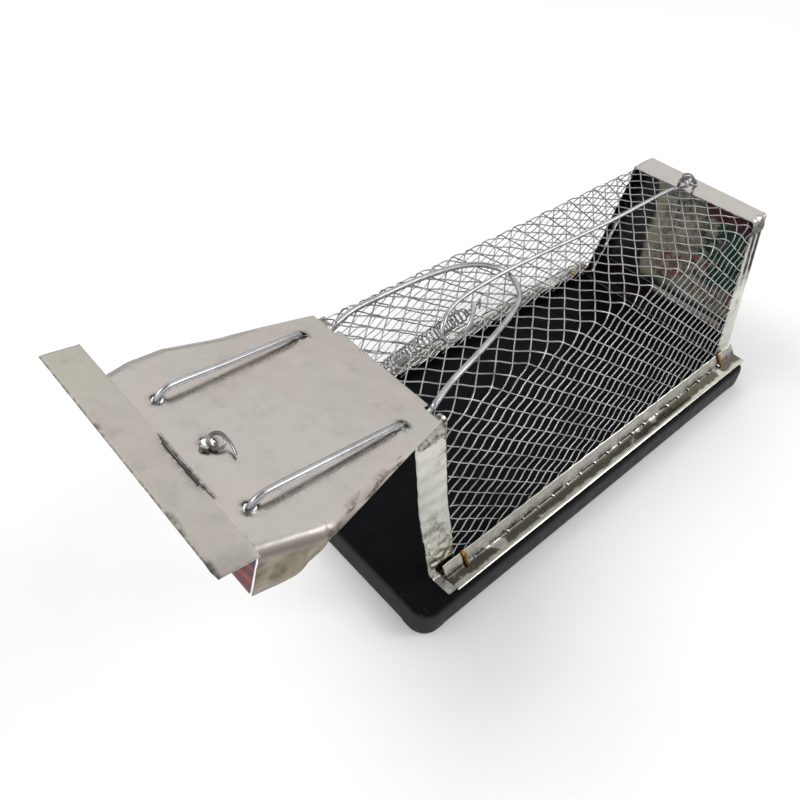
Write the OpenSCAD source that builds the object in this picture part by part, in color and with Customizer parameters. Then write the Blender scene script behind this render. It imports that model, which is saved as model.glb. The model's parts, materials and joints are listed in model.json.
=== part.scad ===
/* [Base] */
// Width of the moulded base
base_w = 131.2; // [128:0.2:150]
// Length of the moulded base
base_l = 266; // [262:1:290]
// Height of the base deck above the floor
base_h = 13.2; // [11:0.2:20]
// Thickness of the deck and the skirt
base_wall = 2; // [1.6:0.2:3]
// Corner radius of the base in plan
base_corner_r = 9; // [6:1:14]
// Length of base in front of the door's rear edge
base_front = 22; // [20:1:26]
// Height of the moulded corner feet
foot_h = 1.4; // [0.8:0.2:3]

/* [Cage] */
// Height of the mesh roof above the floor
cage_h = 100.8; // [96:0.2:120]
// Width of the roof between its folds
roof_w = 74.6; // [72:0.2:80]
// Width of the cage on the base
cage_foot_w = 103; // [98:0.5:108]
// Thickness of the tin strips
tin = 0.6; // [0.5:0.1:0.7]
// Corner to corner length of a mesh opening along the cage
mesh_long = 10.9; // [10:0.1:14]
// Corner to corner width of an opening of the roof's mesh
mesh_cross = 9.4; // [9:0.1:13]
// Corner to corner height of an opening of the sides' mesh
mesh_rise = 8.2; // [8:0.1:13]
// Width of one mesh wire
mesh_wire = 0.8; // [0.7:0.1:1.2]
// Thickness of the woven mesh
mesh_t = 1.2; // [1:0.1:1.4]
// Width of the posts along the cage
post_w = 15.5; // [13:0.5:18]
// Width of the flange of a side rail
rail_flange = 11; // [9:0.5:12]
// Height of the slanting band of a side rail
rail_band = 5.6; // [4.6:0.1:6.6]

/* [Door] */
// Angle of the open door above level
door_tilt = 12.5; // [10:0.5:15]
// Travel of the door from open to shut
door_travel = 93; // [80:1:93]
// Length of the door plate from its rear edge to the crease
plate_l = 91.3; // [88:0.1:94]
// Width of the door plate at its rear edge
plate_rear_w = 77; // [76:0.5:80]
// Width of the lip and of the crease
plate_front_w = 110; // [108:0.5:114]
// Depth of the near wing and of the front wall at the crease
wing_depth = 19.6; // [16:0.2:20]
// Depth of the far wing at the crease
far_wing_depth = 9; // [6:0.5:9.5]
// Length of the lip in front of the crease
lip_l = 14.3; // [10:0.1:18]
// Bend of the lip below the door plate
lip_bend = 3.8; // [2:0.2:6]

/* [Wires] */
// Radius of the bail wire
bail_r = 1.3; // [1.1:0.1:1.3]
// Radius of the trigger wire
trigger_r = 1; // [0.8:0.1:1.1]
// Radius of the hinge rod
hinge_r = 1.1; // [1:0.05:1.15]
// Running clearance round the hinge rod
hinge_gap = 0.06; // [0.03:0.01:0.1]
// Outer radius of the closing spring
spring_r = 3.2; // [2.6:0.1:3.3]
// Radius of the thin spring wire
hook_wire_r = 0.45; // [0.35:0.05:0.6]

/* [Hidden] */
$fn = 48;

over = 0.01;
fit = 0.05;

// Cage frame: y = 0 is the door's rear edge, z = 0 is the floor
base_rear_y = base_l - base_front;
foot_hw = cage_foot_w / 2;
roof_hw = roof_w / 2;
side_rise = cage_h - base_h;
lean = atan((foot_hw - roof_hw) / side_rise);
slant_l = side_rise / cos(lean);
lip_tilt = door_tilt - lip_bend;
lip_front_y = -(plate_l + 0.1) * cos(door_tilt) - lip_l * cos(lip_tilt) - tin * sin(lip_tilt);
mid_y = (base_rear_y + lip_front_y) / 2;

// Depths below the outer face of the mesh, measured along its normal
post_face = -0.8;
flap_face = -0.2;

// Front arch
post_foot_y = -5.5;
post_waist_y = -10.2;
post_top_y = -11.3;
post_waist_v = 47;
header_front_y = -6.8;
header_rear_y = 3;
header_web_h = 7;
header_web_x = [10, roof_hw - 1.8];
flap_drop = 9;
leg_notch_w = 5.4;
leg_notch_depth = 3.2;

// Rear arch
rear_post_y = 229.5;
rear_post_w = 14;
rear_header_y = 226;
rear_header_l = 17;
rear_wall_y = 240.6;
rear_strip_h = 17;

// Side rails
rail_front_y = 1;
rail_l = base_rear_y - 1 - rail_front_y;
tab_reach = 10.8;

// The band slants down from the mesh to a fold, where the flange starts
band_top_x = foot_hw - rail_band * tan(lean) + 0.2;
fold_x = foot_hw + 3.4;
band_fall = atan((rail_band - tin - fit) / (fold_x - band_top_x));
tie_r = 1.1;

// Hinge line and its knuckles, as [first x, last x]
axis_y = -9;
axis_z = cage_h - 1.7;
knuckle_r = 1.7;
rod_span = [-25, 27.5];
door_knuckles = [[-25, -15.2], [-2.8, 5], [17.4, 27.5]];
header_knuckles = [[-14.8, -3.2], [5.4, 17]];

// Door frame: s runs from the rear edge to the crease, n is the height over the plate's top face
door_z = cage_h + 0.25 + tin;
axis_s = -axis_y * cos(door_tilt) + (axis_z - door_z) * sin(door_tilt);
axis_n = axis_y * sin(door_tilt) + (axis_z - door_z) * cos(door_tilt);
strap_front_s = 22;

// Side edges of the plate from the hinge to the crease, as [x, s]
plate_rear_hw = plate_rear_w / 2;
near_edge = [[plate_rear_hw, 0], [plate_front_w / 2 + 4.2, 68], [plate_front_w / 2 + 0.2, plate_l]];
far_edge = [
    [-plate_rear_hw, 0], [-plate_rear_hw - 4, 66],
    [-plate_rear_hw - 2, 80], [-plate_rear_hw + 2, plate_l]
];

// Lower edges of the wings, as [s, depth]; the near one is torn at a kink
near_wing = [[26, 0], [68, 3], [72.4, 12.5], [78, 16], [83.4, 18], [plate_l, wing_depth]];
far_wing = [[28, 0], [50, 4.6], [66, far_wing_depth - 1.2], [plate_l, far_wing_depth]];

// Bail wire: where its legs pass the hinge and where they pierce the plate, as [x, s]
leg_far_x = -28;
leg_near_x = 31;
hole_far_rear = [-27.7, 14.3];
hole_far_front = [-16.4, 83];
hole_near_rear = [33.2, 15.2];
hole_near_front = [39.1, 84];
bail_hole_r = 2.2;
bail_z = cage_h + 1.55;

// Spring hook on the door, as [x, s]
eyelet = [10.3, 77.8];
eyelet_r = 3.4;
eyelet_hole_r = 1.2;

// Trigger: the staple's bar on the rear header is the pivot
pivot_x = -3.6;
pivot_y = 227.4;
pivot_z = cage_h + tin + 3.7;
eye_r = 2.4;
staple_r = 0.9;
staple_hw = 4;
staple_drop = 15;

// Opening snipped in the roof for the bait hook
slot_x = [-3.8, 4.4];
slot_y = [33.4, 60.8];

// Roof mesh, one of its crossings as [x, y], and the middle of the strand that holds the spring
roof_mesh_y = [header_rear_y + 1.3, rear_header_y + 0.35];
roof_mesh_mid = (roof_mesh_y[0] + roof_mesh_y[1]) / 2;
roof_crossing = [-5.8, 61.6];
spring_strand = roof_crossing + [mesh_cross / 4, mesh_long / 4];

// ---- placing ----

module at_cage() {
    translate([0, -mid_y, 0]) children();
}

// Local x runs along the cage, local y up the side and local z outwards, for the near side
module on_near_side() {
    translate([foot_hw, 0, base_h])
        rotate([0, -lean, 0])
            rotate([90, 0, 90])
                children();
}

module on_side(far) {
    mirror([far ? 1 : 0, 0, 0]) on_near_side() children();
}

// Local y is minus s and local z is n
module at_door() {
    translate([0, 0, door_z]) rotate([-door_tilt, 0, 0]) children();
}

function door_point(x, s, n) = [
    x,
    -s * cos(door_tilt) + n * sin(door_tilt),
    door_z + s * sin(door_tilt) + n * cos(door_tilt)
];

// ---- wires ----

function unit(v) = v / norm(v);

function tangent(path, i) =
    unit(path[min(i + 1, len(path) - 1)] - path[max(i - 1, 0)]);

function carried(path, i, side) =
    i == len(path) ? [] :
    let (t = tangent(path, i), next = unit(side - (side * t) * t))
    concat([next], carried(path, i + 1, next));

function bend_at(a, b, c, d, t) =
    0.5 * (2 * b + (c - a) * t + (2 * a - 5 * b + 4 * c - d) * t * t
        + (3 * b - a - 3 * c + d) * t * t * t);

function smooth(points, steps) = concat(
    [for (i = [0:len(points) - 2]) for (k = [0:steps - 1])
        bend_at(points[max(i - 1, 0)], points[i], points[i + 1],
            points[min(i + 2, len(points) - 1)], k / steps)],
    [points[len(points) - 1]]
);

module wire(path, r, sides = 10) {
    first = cross(tangent(path, 0), [0.31, 0.17, 0.93]);
    sideways = carried(path, 0, first);
    skin = [for (i = [0:len(path) - 1]) for (k = [0:sides - 1])
        let (t = tangent(path, i), a = 360 * k / sides)
        path[i] + r * (cos(a) * sideways[i] + sin(a) * cross(t, sideways[i]))];
    walls = [for (i = [0:len(path) - 2]) for (k = [0:sides - 1]) for (half = [0, 1])
        let (j = (k + 1) % sides, lo = i * sides, hi = lo + sides)
        half == 0 ? [lo + k, hi + k, hi + j] : [lo + k, hi + j, lo + j]];
    start = [for (k = [0:sides - 1]) k];
    finish = [for (k = [sides - 1:-1:0]) (len(path) - 1) * sides + k];
    polyhedron(points = skin, faces = concat([start], walls, [finish]));
}

// ---- base ----

module rounded_area(w, l, r) {
    square([w - 2 * r, l], center = true);
    square([w, l - 2 * r], center = true);
    for (x = [-1, 1]) for (y = [-1, 1])
        translate([x * (w / 2 - r), y * (l / 2 - r)]) circle(r);
}

module base_block(inset, h) {
    linear_extrude(h)
        rounded_area(base_w - 2 * inset, base_l - 2 * inset, base_corner_r - inset);
}

module base_tray() {
    foot_w = 12;
    color("#17181b") at_cage() translate([0, base_l / 2 - base_front, 0]) {
        difference() {
            translate([0, 0, foot_h]) base_block(0, base_h - foot_h);
            translate([0, 0, -over]) base_block(base_wall, base_h - base_wall + over);
        }
        intersection() {
            difference() {
                base_block(0, foot_h + 1);
                translate([0, 0, -over]) base_block(base_wall + 1, foot_h + 2);
            }
            for (x = [-1, 1]) for (y = [-1, 1])
                translate([x * (base_w - foot_w) / 2, y * (base_l - foot_w) / 2, 0])
                    translate([-foot_w / 2, -foot_w / 2, 0])
                        cube([foot_w, foot_w, foot_h + 1]);
        }
    }
}

// ---- side rails ----

module side_rail(far) {
    flange_z = base_h + tin + fit;
    top_z = base_h + rail_band;
    edge_x = foot_hw + rail_flange;
    color("#b9b3a6") at_cage()
        mirror([far ? 1 : 0, 0, 0]) translate([0, rail_front_y + rail_l, 0])
            rotate([90, 0, 0]) linear_extrude(rail_l) polygon([
                [band_top_x, top_z], [fold_x, flange_z], [edge_x - tin, flange_z],
                [edge_x - tin, base_h], [edge_x, base_h], [edge_x, flange_z + tin],
                [fold_x + tin / 2, flange_z + tin],
                [band_top_x + tin * sin(band_fall), top_z + tin * cos(band_fall)]
            ]);
}

module side_rail_near() { side_rail(false); }

module side_rail_far() { side_rail(true); }

// A twist of wire lies down the band near each end of each rail
module rail_ties() {
    tie_l = 5.6;
    off = tin + tie_r + 0.1;
    color("#9a6a33") at_cage()
        for (side = [-1, 1]) for (y = [13, 227])
            translate([
                side * (band_top_x + off * sin(band_fall)), y,
                base_h + rail_band + off * cos(band_fall)
            ])
                rotate([0, side * (90 + band_fall), 0]) {
                    cylinder(r = tie_r, h = tie_l);
                    rotate_extrude() translate([tie_r - 0.45, 0]) circle(0.45, $fn = 24);
                }
}

// ---- arches ----

// A post is a strip in the plane of the side, with a tab turned out on the deck
module post(outline, tab_y, far) {
    on_side(far) translate([0, 0, post_face - tin]) linear_extrude(tin) polygon(outline);
    mirror([far ? 1 : 0, 0, 0])
        translate([foot_hw + post_face - tin, tab_y[0], base_h])
            cube([tab_reach, tab_y[1] - tab_y[0], tin]);
}

module front_post(far) {
    top_v = slant_l - 0.9;
    color("#c3bfb4") at_cage()
        post([
            [post_foot_y, 0.2], [post_foot_y + post_w, 0.2],
            [post_waist_y + post_w, post_waist_v], [post_top_y + post_w, top_v],
            [post_top_y, top_v], [post_waist_y, post_waist_v]
        ], [-4.3, 8], far);
}

module front_post_near() { front_post(false); }

module front_post_far() { front_post(true); }

module rear_post(far) {
    top_v = slant_l - 0.9;
    color("#c9c6bd") at_cage()
        post([
            [rear_post_y, 0.2], [rear_post_y + rear_post_w, 0.2],
            [rear_post_y + rear_post_w - 0.6, top_v], [rear_post_y, top_v]
        ], [rear_post_y + 1, rear_post_y + rear_post_w - 1], far);
}

module rear_post_near() { rear_post(false); }

module rear_post_far() { rear_post(true); }

// The ends of a header are folded down over the posts
module header_flap(y0, y1, far) {
    on_side(far) translate([y0, slant_l - flap_drop, flap_face - tin])
        cube([y1 - y0, flap_drop, tin]);
}

module front_header() {
    strip_hw = roof_hw + flap_face;
    color("#b7b1a6") at_cage() {
        difference() {
            union() {
                translate([-strip_hw, header_front_y, cage_h - tin])
                    cube([2 * strip_hw, header_rear_y - header_front_y, tin]);
                for (x = [-header_web_x[1], header_web_x[0]])
                    translate([x, header_front_y, cage_h - header_web_h])
                        cube([header_web_x[1] - header_web_x[0], tin, header_web_h]);
            }
            for (x = [leg_far_x, leg_near_x])
                translate([x - leg_notch_w / 2, header_front_y - 1, cage_h - leg_notch_depth])
                    cube([leg_notch_w, header_rear_y - header_front_y + 2, leg_notch_depth + 1]);
        }
        header_flap(post_top_y + 1.5, post_top_y + post_w - 0.1, false);
        header_flap(post_top_y + 1.5, post_top_y + post_w - 0.1, true);
        for (span = header_knuckles)
            difference() {
                union() {
                    translate([span[0], axis_y, axis_z]) rotate([0, 90, 0])
                        cylinder(r = knuckle_r, h = span[1] - span[0]);
                    translate([span[0], axis_y, cage_h - tin])
                        cube([span[1] - span[0], header_front_y - axis_y + 0.1, tin]);
                }
                translate([span[0] - 1, axis_y, axis_z]) rotate([0, 90, 0])
                    cylinder(r = hinge_r + hinge_gap / 2, h = span[1] - span[0] + 2);
            }
    }
}

module rear_header() {
    strip_hw = roof_hw + flap_face;
    back_y = rear_wall_y + tin + fit;
    flange_h = 7;
    color("#c6c2b8") at_cage() {
        difference() {
            translate([-strip_hw, rear_header_y, cage_h])
                cube([2 * strip_hw, rear_header_l, tin]);
            for (side = [-1, 1])
                translate([pivot_x + side * staple_hw, pivot_y, cage_h - 1])
                    cylinder(r = staple_r + 0.15, h = 3);
        }
        translate([-strip_hw + 1.6, back_y, cage_h - flange_h])
            cube([2 * strip_hw - 3.2, tin, flange_h + over]);
        for (far = [false, true])
            on_side(far) translate([rear_post_y, slant_l - flap_drop, flap_face - tin])
                cube([rear_post_w - 0.6, flap_drop + 0.4, tin]);
    }
}

module rear_wall() {
    inner = post_face - tin - 0.2;
    low_hw = foot_hw + inner / cos(lean);
    high_hw = roof_hw + inner / cos(lean);
    color("#6f6a5c") at_cage()
        translate([0, rear_wall_y + tin, 0]) rotate([90, 0, 0]) linear_extrude(tin)
            polygon([
                [-low_hw, base_h], [low_hw, base_h],
                [high_hw, cage_h - fit], [-high_hw, cage_h - fit]
            ]);
}

module rear_foot_strip() {
    inner = post_face - tin - 0.4;
    low_hw = foot_hw + inner / cos(lean);
    high_hw = low_hw - rear_strip_h * tan(lean);
    color("#3a1c1c") at_cage() {
        translate([0, rear_wall_y, 0]) rotate([90, 0, 0]) linear_extrude(tin)
            polygon([
                [-low_hw, base_h], [low_hw, base_h],
                [high_hw, base_h + rear_strip_h], [-high_hw, base_h + rear_strip_h]
            ]);
        translate([-low_hw, rear_wall_y - 7, base_h]) cube([2 * low_hw, 7, tin]);
    }
}

// ---- mesh ----

// Slanting wires leave rows of pointed openings, a by b from corner to corner; the outline of
// the sheet is w by l about the origin, and two wires cross at the place called crossing
module lattice(w, l, a, b, crossing) {
    rim = mesh_wire / 2;
    share = 1 - mesh_wire * norm([a, b]) / (a * b);
    reach = ceil(w / a + l / b) + 1;
    difference() {
        children();
        intersection() {
            square([w - 2 * rim, l - 2 * rim], center = true);
            for (i = [-reach:reach]) for (j = [-reach:reach])
                let (x = crossing[0] + (i + j + 1) * a / 2, y = crossing[1] + (i - j) * b / 2)
                if (abs(x) < (w + a) / 2 && abs(y) < (l + b) / 2)
                    translate([x, y]) scale([share * a / 2, share * b / 2])
                        polygon([[1, 0], [0, 1], [-1, 0], [0, -1]]);
        }
    }
}

module mesh_roof() {
    l = roof_mesh_y[1] - roof_mesh_y[0];
    hw = roof_hw - 1;
    color("#a9abad") at_cage() translate([0, roof_mesh_mid, cage_h - mesh_t])
        linear_extrude(mesh_t) difference() {
            lattice(2 * hw, l, mesh_cross, mesh_long, roof_crossing - [0, roof_mesh_mid])
                square([2 * hw, l], center = true);
            translate([slot_x[0], slot_y[0] - roof_mesh_mid])
                square([slot_x[1] - slot_x[0], slot_y[1] - slot_y[0]]);
        }
}

module mesh_side(far) {
    gap = 0.15;
    front_foot = post_foot_y + post_w + gap;
    front_waist = post_waist_y + post_w + gap;
    front_top = post_top_y + post_w + gap;
    rear_y = rear_post_y - gap;
    top_v = slant_l - mesh_t - 0.15;
    mid_u = (front_foot + rear_y) / 2;
    color("#b4b6b8") at_cage() on_side(far) translate([mid_u, slant_l / 2, -mesh_t])
        linear_extrude(mesh_t)
            lattice(rear_y - front_top + 8, slant_l, mesh_long, mesh_rise, [0, 0])
                translate([-mid_u, -slant_l / 2])
                    polygon([
                        [front_foot, 0.4], [rear_y, 0.4], [rear_y, top_v],
                        [front_top, top_v], [front_waist, post_waist_v]
                    ]);
}

module mesh_side_near() { mesh_side(false); }

module mesh_side_far() { mesh_side(true); }

// ---- door ----

module hinge_rod() {
    color("#8d8f90") at_cage()
        translate([rod_span[0] - 0.6, axis_y, axis_z]) rotate([0, 90, 0])
            cylinder(r = hinge_r, h = rod_span[1] - rod_span[0] + 1.2);
}

// A strip under the plate, cut into tongues that curl round the rod
module door_hinge_strap() {
    curl_s = axis_s + 0.4;
    color("#b3ada2") at_cage() at_door()
        for (span = door_knuckles)
            translate([span[0], 0, 0]) rotate([90, 0, 90]) linear_extrude(span[1] - span[0])
                difference() {
                    union() {
                        translate([-axis_s, axis_n]) circle(knuckle_r);
                        polygon([
                            [-strap_front_s, -tin], [-strap_front_s, -2 * tin],
                            [-curl_s - 4.6, -2 * tin], [-curl_s - 1.1, axis_n],
                            [-curl_s - 0.6, axis_n + 1.2], [-curl_s - 3.6, -tin]
                        ]);
                    }
                    translate([-axis_s, axis_n]) circle(hinge_r + hinge_gap);
                }
}

// A wing hangs from a side edge of the plate
module door_wing(edge, inward, lower) {
    outer = [for (p = edge) [p[0], -p[1]]];
    inner = [for (i = [len(edge) - 1:-1:0]) [edge[i][0] + inward * tin, -edge[i][1]]];
    intersection() {
        translate([0, 0, -wing_depth - 1]) linear_extrude(wing_depth + 1)
            polygon(concat(outer, inner));
        translate([-plate_front_w, 0, 0]) rotate([90, 0, 90]) linear_extrude(2 * plate_front_w)
            polygon(concat([for (p = lower) [-p[0], -p[1]]], [[-plate_l, -over]]));
    }
}

module door_plate() {
    far_side = [for (i = [len(far_edge) - 1:-1:0]) far_edge[i]];
    color("#b9b2a8") at_cage() at_door() {
        difference() {
            translate([0, 0, -tin]) linear_extrude(tin)
                polygon([for (p = concat(near_edge, far_side)) [p[0], -p[1]]]);
            for (hole = [hole_far_rear, hole_far_front, hole_near_rear, hole_near_front])
                translate([hole[0], -hole[1], -1]) cylinder(r = bail_hole_r, h = 2);
            translate([eyelet[0], -eyelet[1], -1]) cylinder(r = eyelet_hole_r, h = 2);
        }
        door_wing(near_edge, -1, near_wing);
        door_wing(far_edge, 1, far_wing);
    }
}

// The lip is an angle: a flat strip forwards and a wall down under the crease
module door_lip() {
    gap = 0.1;
    wall_far_x = -plate_rear_hw + 2.4;
    wall_near_x = plate_front_w / 2 - 0.6;
    color("#aaa59b") at_cage() at_door() translate([0, -plate_l - gap, 0]) {
        rotate([lip_bend, 0, 0]) translate([-plate_front_w / 2, -lip_l, -tin])
            cube([plate_front_w, lip_l, tin]);
        translate([wall_far_x, -tin, -wing_depth])
            cube([wall_near_x - wall_far_x, tin, wing_depth - tin / 2]);
    }
}

// ---- bail ----

bail_points = concat(
    [
        door_point(hole_far_front[0] + 0.4, hole_far_front[1] - 3.5, -5),
        door_point(hole_far_front[0], hole_far_front[1], -2.6),
        door_point(hole_far_front[0], hole_far_front[1], 0.3),
        door_point(hole_far_front[0] - 0.6, hole_far_front[1] - 2.6, 2.9),
        door_point(hole_far_front[0] - 1.5, hole_far_front[1] - 8, 3.9),
        door_point(hole_far_front[0] - 4.2, hole_far_front[1] - 26, 3.3),
        door_point(hole_far_rear[0] + 2, hole_far_rear[1] + 12, 2.4),
        door_point(hole_far_rear[0] + 0.3, hole_far_rear[1] + 2.6, 1.3),
        door_point(hole_far_rear[0], hole_far_rear[1], -0.9),
        door_point(leg_far_x, hole_far_rear[1] - 3.5, -2.1),
        door_point(leg_far_x, 4, -2.2),
        door_point(leg_far_x, 0.5, -2.4)
    ],
    [
        [leg_far_x, 1.9, cage_h - 0.2], [leg_far_x, 3.4, cage_h + 1.3],
        [leg_far_x - 0.6, 6, bail_z],
        [-30.6, 16, bail_z], [-30.6, 34, bail_z], [-29.9, 52, bail_z], [-27.4, 69, bail_z],
        [-23.8, 79.2, bail_z], [-18.6, 85.2, bail_z], [-11, 88, bail_z], [-1.6, 85.4, bail_z],
        [6.4, 79, bail_z], [11.4, 69.5, bail_z], [16.4, 54, bail_z], [21.2, 36.5, bail_z],
        [25.8, 18, bail_z], [leg_near_x - 1, 6, bail_z],
        [leg_near_x, 3.4, cage_h + 1.3], [leg_near_x, 1.9, cage_h - 0.2]
    ],
    [
        door_point(leg_near_x, 0.5, -2.4),
        door_point(leg_near_x + 0.4, 4, -2.2),
        door_point(leg_near_x + 1.6, hole_near_rear[1] - 3.5, -2.1),
        door_point(hole_near_rear[0], hole_near_rear[1], -0.9),
        door_point(hole_near_rear[0], hole_near_rear[1] + 2.6, 1.3),
        door_point(hole_near_rear[0] + 1, hole_near_rear[1] + 12, 2.4),
        door_point(hole_near_front[0] - 2.2, hole_near_front[1] - 26, 3.3),
        door_point(hole_near_front[0] - 0.6, hole_near_front[1] - 8, 3.9),
        door_point(hole_near_front[0] - 0.2, hole_near_front[1] - 2.6, 2.9),
        door_point(hole_near_front[0], hole_near_front[1], 0.3),
        door_point(hole_near_front[0], hole_near_front[1], -2.6),
        door_point(hole_near_front[0], hole_near_front[1] - 3.5, -5)
    ]
);

module bail_wire() {
    color("#b6b8ba") at_cage() wire(smooth(bail_points, 4), bail_r);
}

// ---- spring ----

spring_points = [
    [-6, 60, cage_h - 5.2], [-4.6, 40, cage_h - 5.6], [-2.4, 16, cage_h - 6.4],
    [0.4, -4, cage_h - 7.5], [1.6, -14, cage_h - 6.4], [3.4, -28, cage_h - 2.2],
    door_point(6.4, 46, -5.4), door_point(9.4, 70, -5)
];

module door_spring() {
    color("#77797b") at_cage() wire(smooth(spring_points, 5), spring_r, 12);
}

module spring_roof_hook() {
    across = unit([mesh_long, -mesh_cross, 0]);
    top = [spring_strand[0], spring_strand[1], cage_h + 0.9];
    color("#8c8e90") at_cage() wire(smooth([
        spring_points[0] + [0, 0.1, 0],
        spring_points[0] + [0.2, 2.2, 0.2],
        top - 2 * across + [0, 0, -3.4],
        top - 1.5 * across + [0, 0, -0.8],
        top,
        top + 1.5 * across + [0, 0, -0.8],
        top + 1.8 * across + [0, 0, -3.4]
    ], 4), hook_wire_r, 8);
}

// The end of the spring comes up through the plate and is curled flat on top
module spring_door_hook() {
    turns = 1.3;
    climb = 1.9;
    curl = [for (a = [0:20:turns * 360])
        door_point(eyelet[0] + eyelet_r * cos(a) * (1 - a / 1800),
            eyelet[1] + eyelet_r * sin(a) * (1 - a / 1800), 0.85 + climb * a / (turns * 360))];
    stem = [
        door_point(9.4, 70.1, -5), door_point(9.8, 73.5, -4.6),
        door_point(eyelet[0], eyelet[1] - 0.6, -2.4), door_point(eyelet[0], eyelet[1] - 0.2, -0.6),
        door_point(eyelet[0] + 0.4, eyelet[1] - 0.5, 0.5), door_point(eyelet[0] + 1.9, eyelet[1] - 1, 0.85)
    ];
    tail = [
        door_point(eyelet[0] - 4.6, eyelet[1] + 2.4, 1.75),
        door_point(eyelet[0] - 2.2, eyelet[1] - 4.8, 1.5)
    ];
    color("#7d7f81") at_cage() {
        wire(smooth(concat(stem, curl), 2), hook_wire_r + 0.1, 8);
        wire(tail, hook_wire_r, 8);
    }
}

// ---- trigger ----

// One turn of the wire round the bar, then forwards over the bail and down into the bait hook
eye_points = [for (a = [-200:29:90])
    [pivot_x - 1.1 + 2.2 * (90 - a) / 290, pivot_y + eye_r * cos(a), pivot_z - eye_r * sin(a)]];

rod_points = [
    [pivot_x - 1.1, 223.4, pivot_z - 1.9], [pivot_x - 1.2, 217, pivot_z - 0.4],
    [pivot_x - 1.5, 206, pivot_z + 0.7],
    [-5.6, 160, cage_h + 4.4], [-7.6, 110, cage_h + 4.4], [-8.3, 86, cage_h + 4.3],
    [-7.6, 66, cage_h + 4.2], [-6.6, 55, cage_h + 4], [-4.5, 46, cage_h + 3.4],
    [-1.2, 39.6, cage_h + 1.8], [1.2, 36.6, cage_h - 1.2], [2.4, 38.6, cage_h - 5],
    [2.6, 43.5, cage_h - 7.5], [2, 49.5, cage_h - 7.4], [1, 54.5, cage_h - 4.2],
    [-1.2, 58, cage_h - 0.2], [-3.2, 59.6, cage_h + 2]
];

module trigger_rod() {
    color("#aeb0b2") at_cage() wire(smooth(concat(eye_points, rod_points), 3), trigger_r);
}

module trigger_staple() {
    leg_l = pivot_z - cage_h + 3;
    color("#7f8183") at_cage() translate([pivot_x, pivot_y, pivot_z]) {
        translate([-staple_hw, 0, 0]) rotate([0, 90, 0]) cylinder(r = staple_r, h = 2 * staple_hw);
        for (side = [-1, 1]) translate([side * staple_hw, 0, 0]) {
            sphere(staple_r);
            translate([0, 0, -leg_l]) cylinder(r = staple_r, h = leg_l);
            translate([0, 0, -leg_l]) sphere(staple_r);
        }
        translate([-staple_hw, 0, -leg_l]) rotate([0, 90, 0])
            cylinder(r = staple_r, h = 2 * staple_hw);
        translate([-0.8, 0, -leg_l - staple_drop + 3])
            cylinder(r = staple_r, h = staple_drop - 3);
    }
}

base_tray();
side_rail_near();
side_rail_far();
rail_ties();
front_post_near();
front_post_far();
front_header();
rear_post_near();
rear_post_far();
rear_header();
rear_wall();
rear_foot_strip();
mesh_roof();
mesh_side_near();
mesh_side_far();
hinge_rod();
door_hinge_strap();
door_plate();
door_lip();
bail_wire();
door_spring();
spring_roof_hook();
spring_door_hook();
trigger_rod();
trigger_staple();
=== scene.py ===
import itertools
import json
import random
from math import acos, atan, atan2, copysign, cos, exp, hypot, pi, radians, sin, sqrt, tan

import bpy
import numpy as np
from mathutils import Matrix, Vector, noise

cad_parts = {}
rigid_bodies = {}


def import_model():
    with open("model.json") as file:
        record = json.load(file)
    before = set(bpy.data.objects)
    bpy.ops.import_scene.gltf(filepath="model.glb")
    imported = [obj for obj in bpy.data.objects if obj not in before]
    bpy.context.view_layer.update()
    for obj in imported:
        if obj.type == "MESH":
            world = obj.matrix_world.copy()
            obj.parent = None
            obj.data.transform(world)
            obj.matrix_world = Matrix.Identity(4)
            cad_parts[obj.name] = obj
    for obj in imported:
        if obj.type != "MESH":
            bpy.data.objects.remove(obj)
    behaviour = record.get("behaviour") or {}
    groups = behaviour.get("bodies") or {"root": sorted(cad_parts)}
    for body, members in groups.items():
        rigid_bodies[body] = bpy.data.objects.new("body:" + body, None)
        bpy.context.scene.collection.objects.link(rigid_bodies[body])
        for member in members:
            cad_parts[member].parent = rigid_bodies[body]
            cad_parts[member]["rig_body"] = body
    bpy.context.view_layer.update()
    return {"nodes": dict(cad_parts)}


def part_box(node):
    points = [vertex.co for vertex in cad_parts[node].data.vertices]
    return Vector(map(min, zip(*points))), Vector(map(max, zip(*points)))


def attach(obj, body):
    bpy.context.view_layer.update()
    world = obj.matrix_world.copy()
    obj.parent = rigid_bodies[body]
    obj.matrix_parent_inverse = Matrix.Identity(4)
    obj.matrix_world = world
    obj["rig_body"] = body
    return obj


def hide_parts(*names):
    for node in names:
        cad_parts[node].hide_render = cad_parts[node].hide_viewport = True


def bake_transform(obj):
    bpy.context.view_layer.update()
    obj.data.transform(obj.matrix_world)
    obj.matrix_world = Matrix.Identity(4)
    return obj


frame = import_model()

# ---------------------------------------------------------------- places
# Shapes are worked out in millimetres in the trap's own frame: y = 0 is the door's rear edge,
# z = 0 the floor, +X the near side and -Y the door's end. to_row() moves them to the row frame.
MM = 0.001
BASE_LOW, BASE_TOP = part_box("base_tray")
BASE_W = (BASE_TOP.x - BASE_LOW.x) / MM
BASE_L = (BASE_TOP.y - BASE_LOW.y) / MM
BASE_H = BASE_TOP.z / MM
BASE_FRONT_Y = -22.0
MID_Y = BASE_FRONT_Y - BASE_LOW.y / MM
BASE_REAR_Y = BASE_FRONT_Y + BASE_L
CAGE_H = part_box("mesh_roof")[1].z / MM

ROOF_HW = 37.3
FOOT_HW = 51.5
LEAN = atan((FOOT_HW - ROOF_HW) / (CAGE_H - BASE_H))
SLANT_L = (CAGE_H - BASE_H) / cos(LEAN)
TIN = 0.5

DOOR_TILT = radians(12.5)
DOOR_Z = CAGE_H + 0.85
PLATE_L = 91.3
LIP_L = 14.2
LIP_BEND = radians(3.8)

MESH_LONG, MESH_CROSS, MESH_RISE = 10.9, 9.4, 8.2
ROOF_CROSSING = (-5.8, 61.6)


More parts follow.
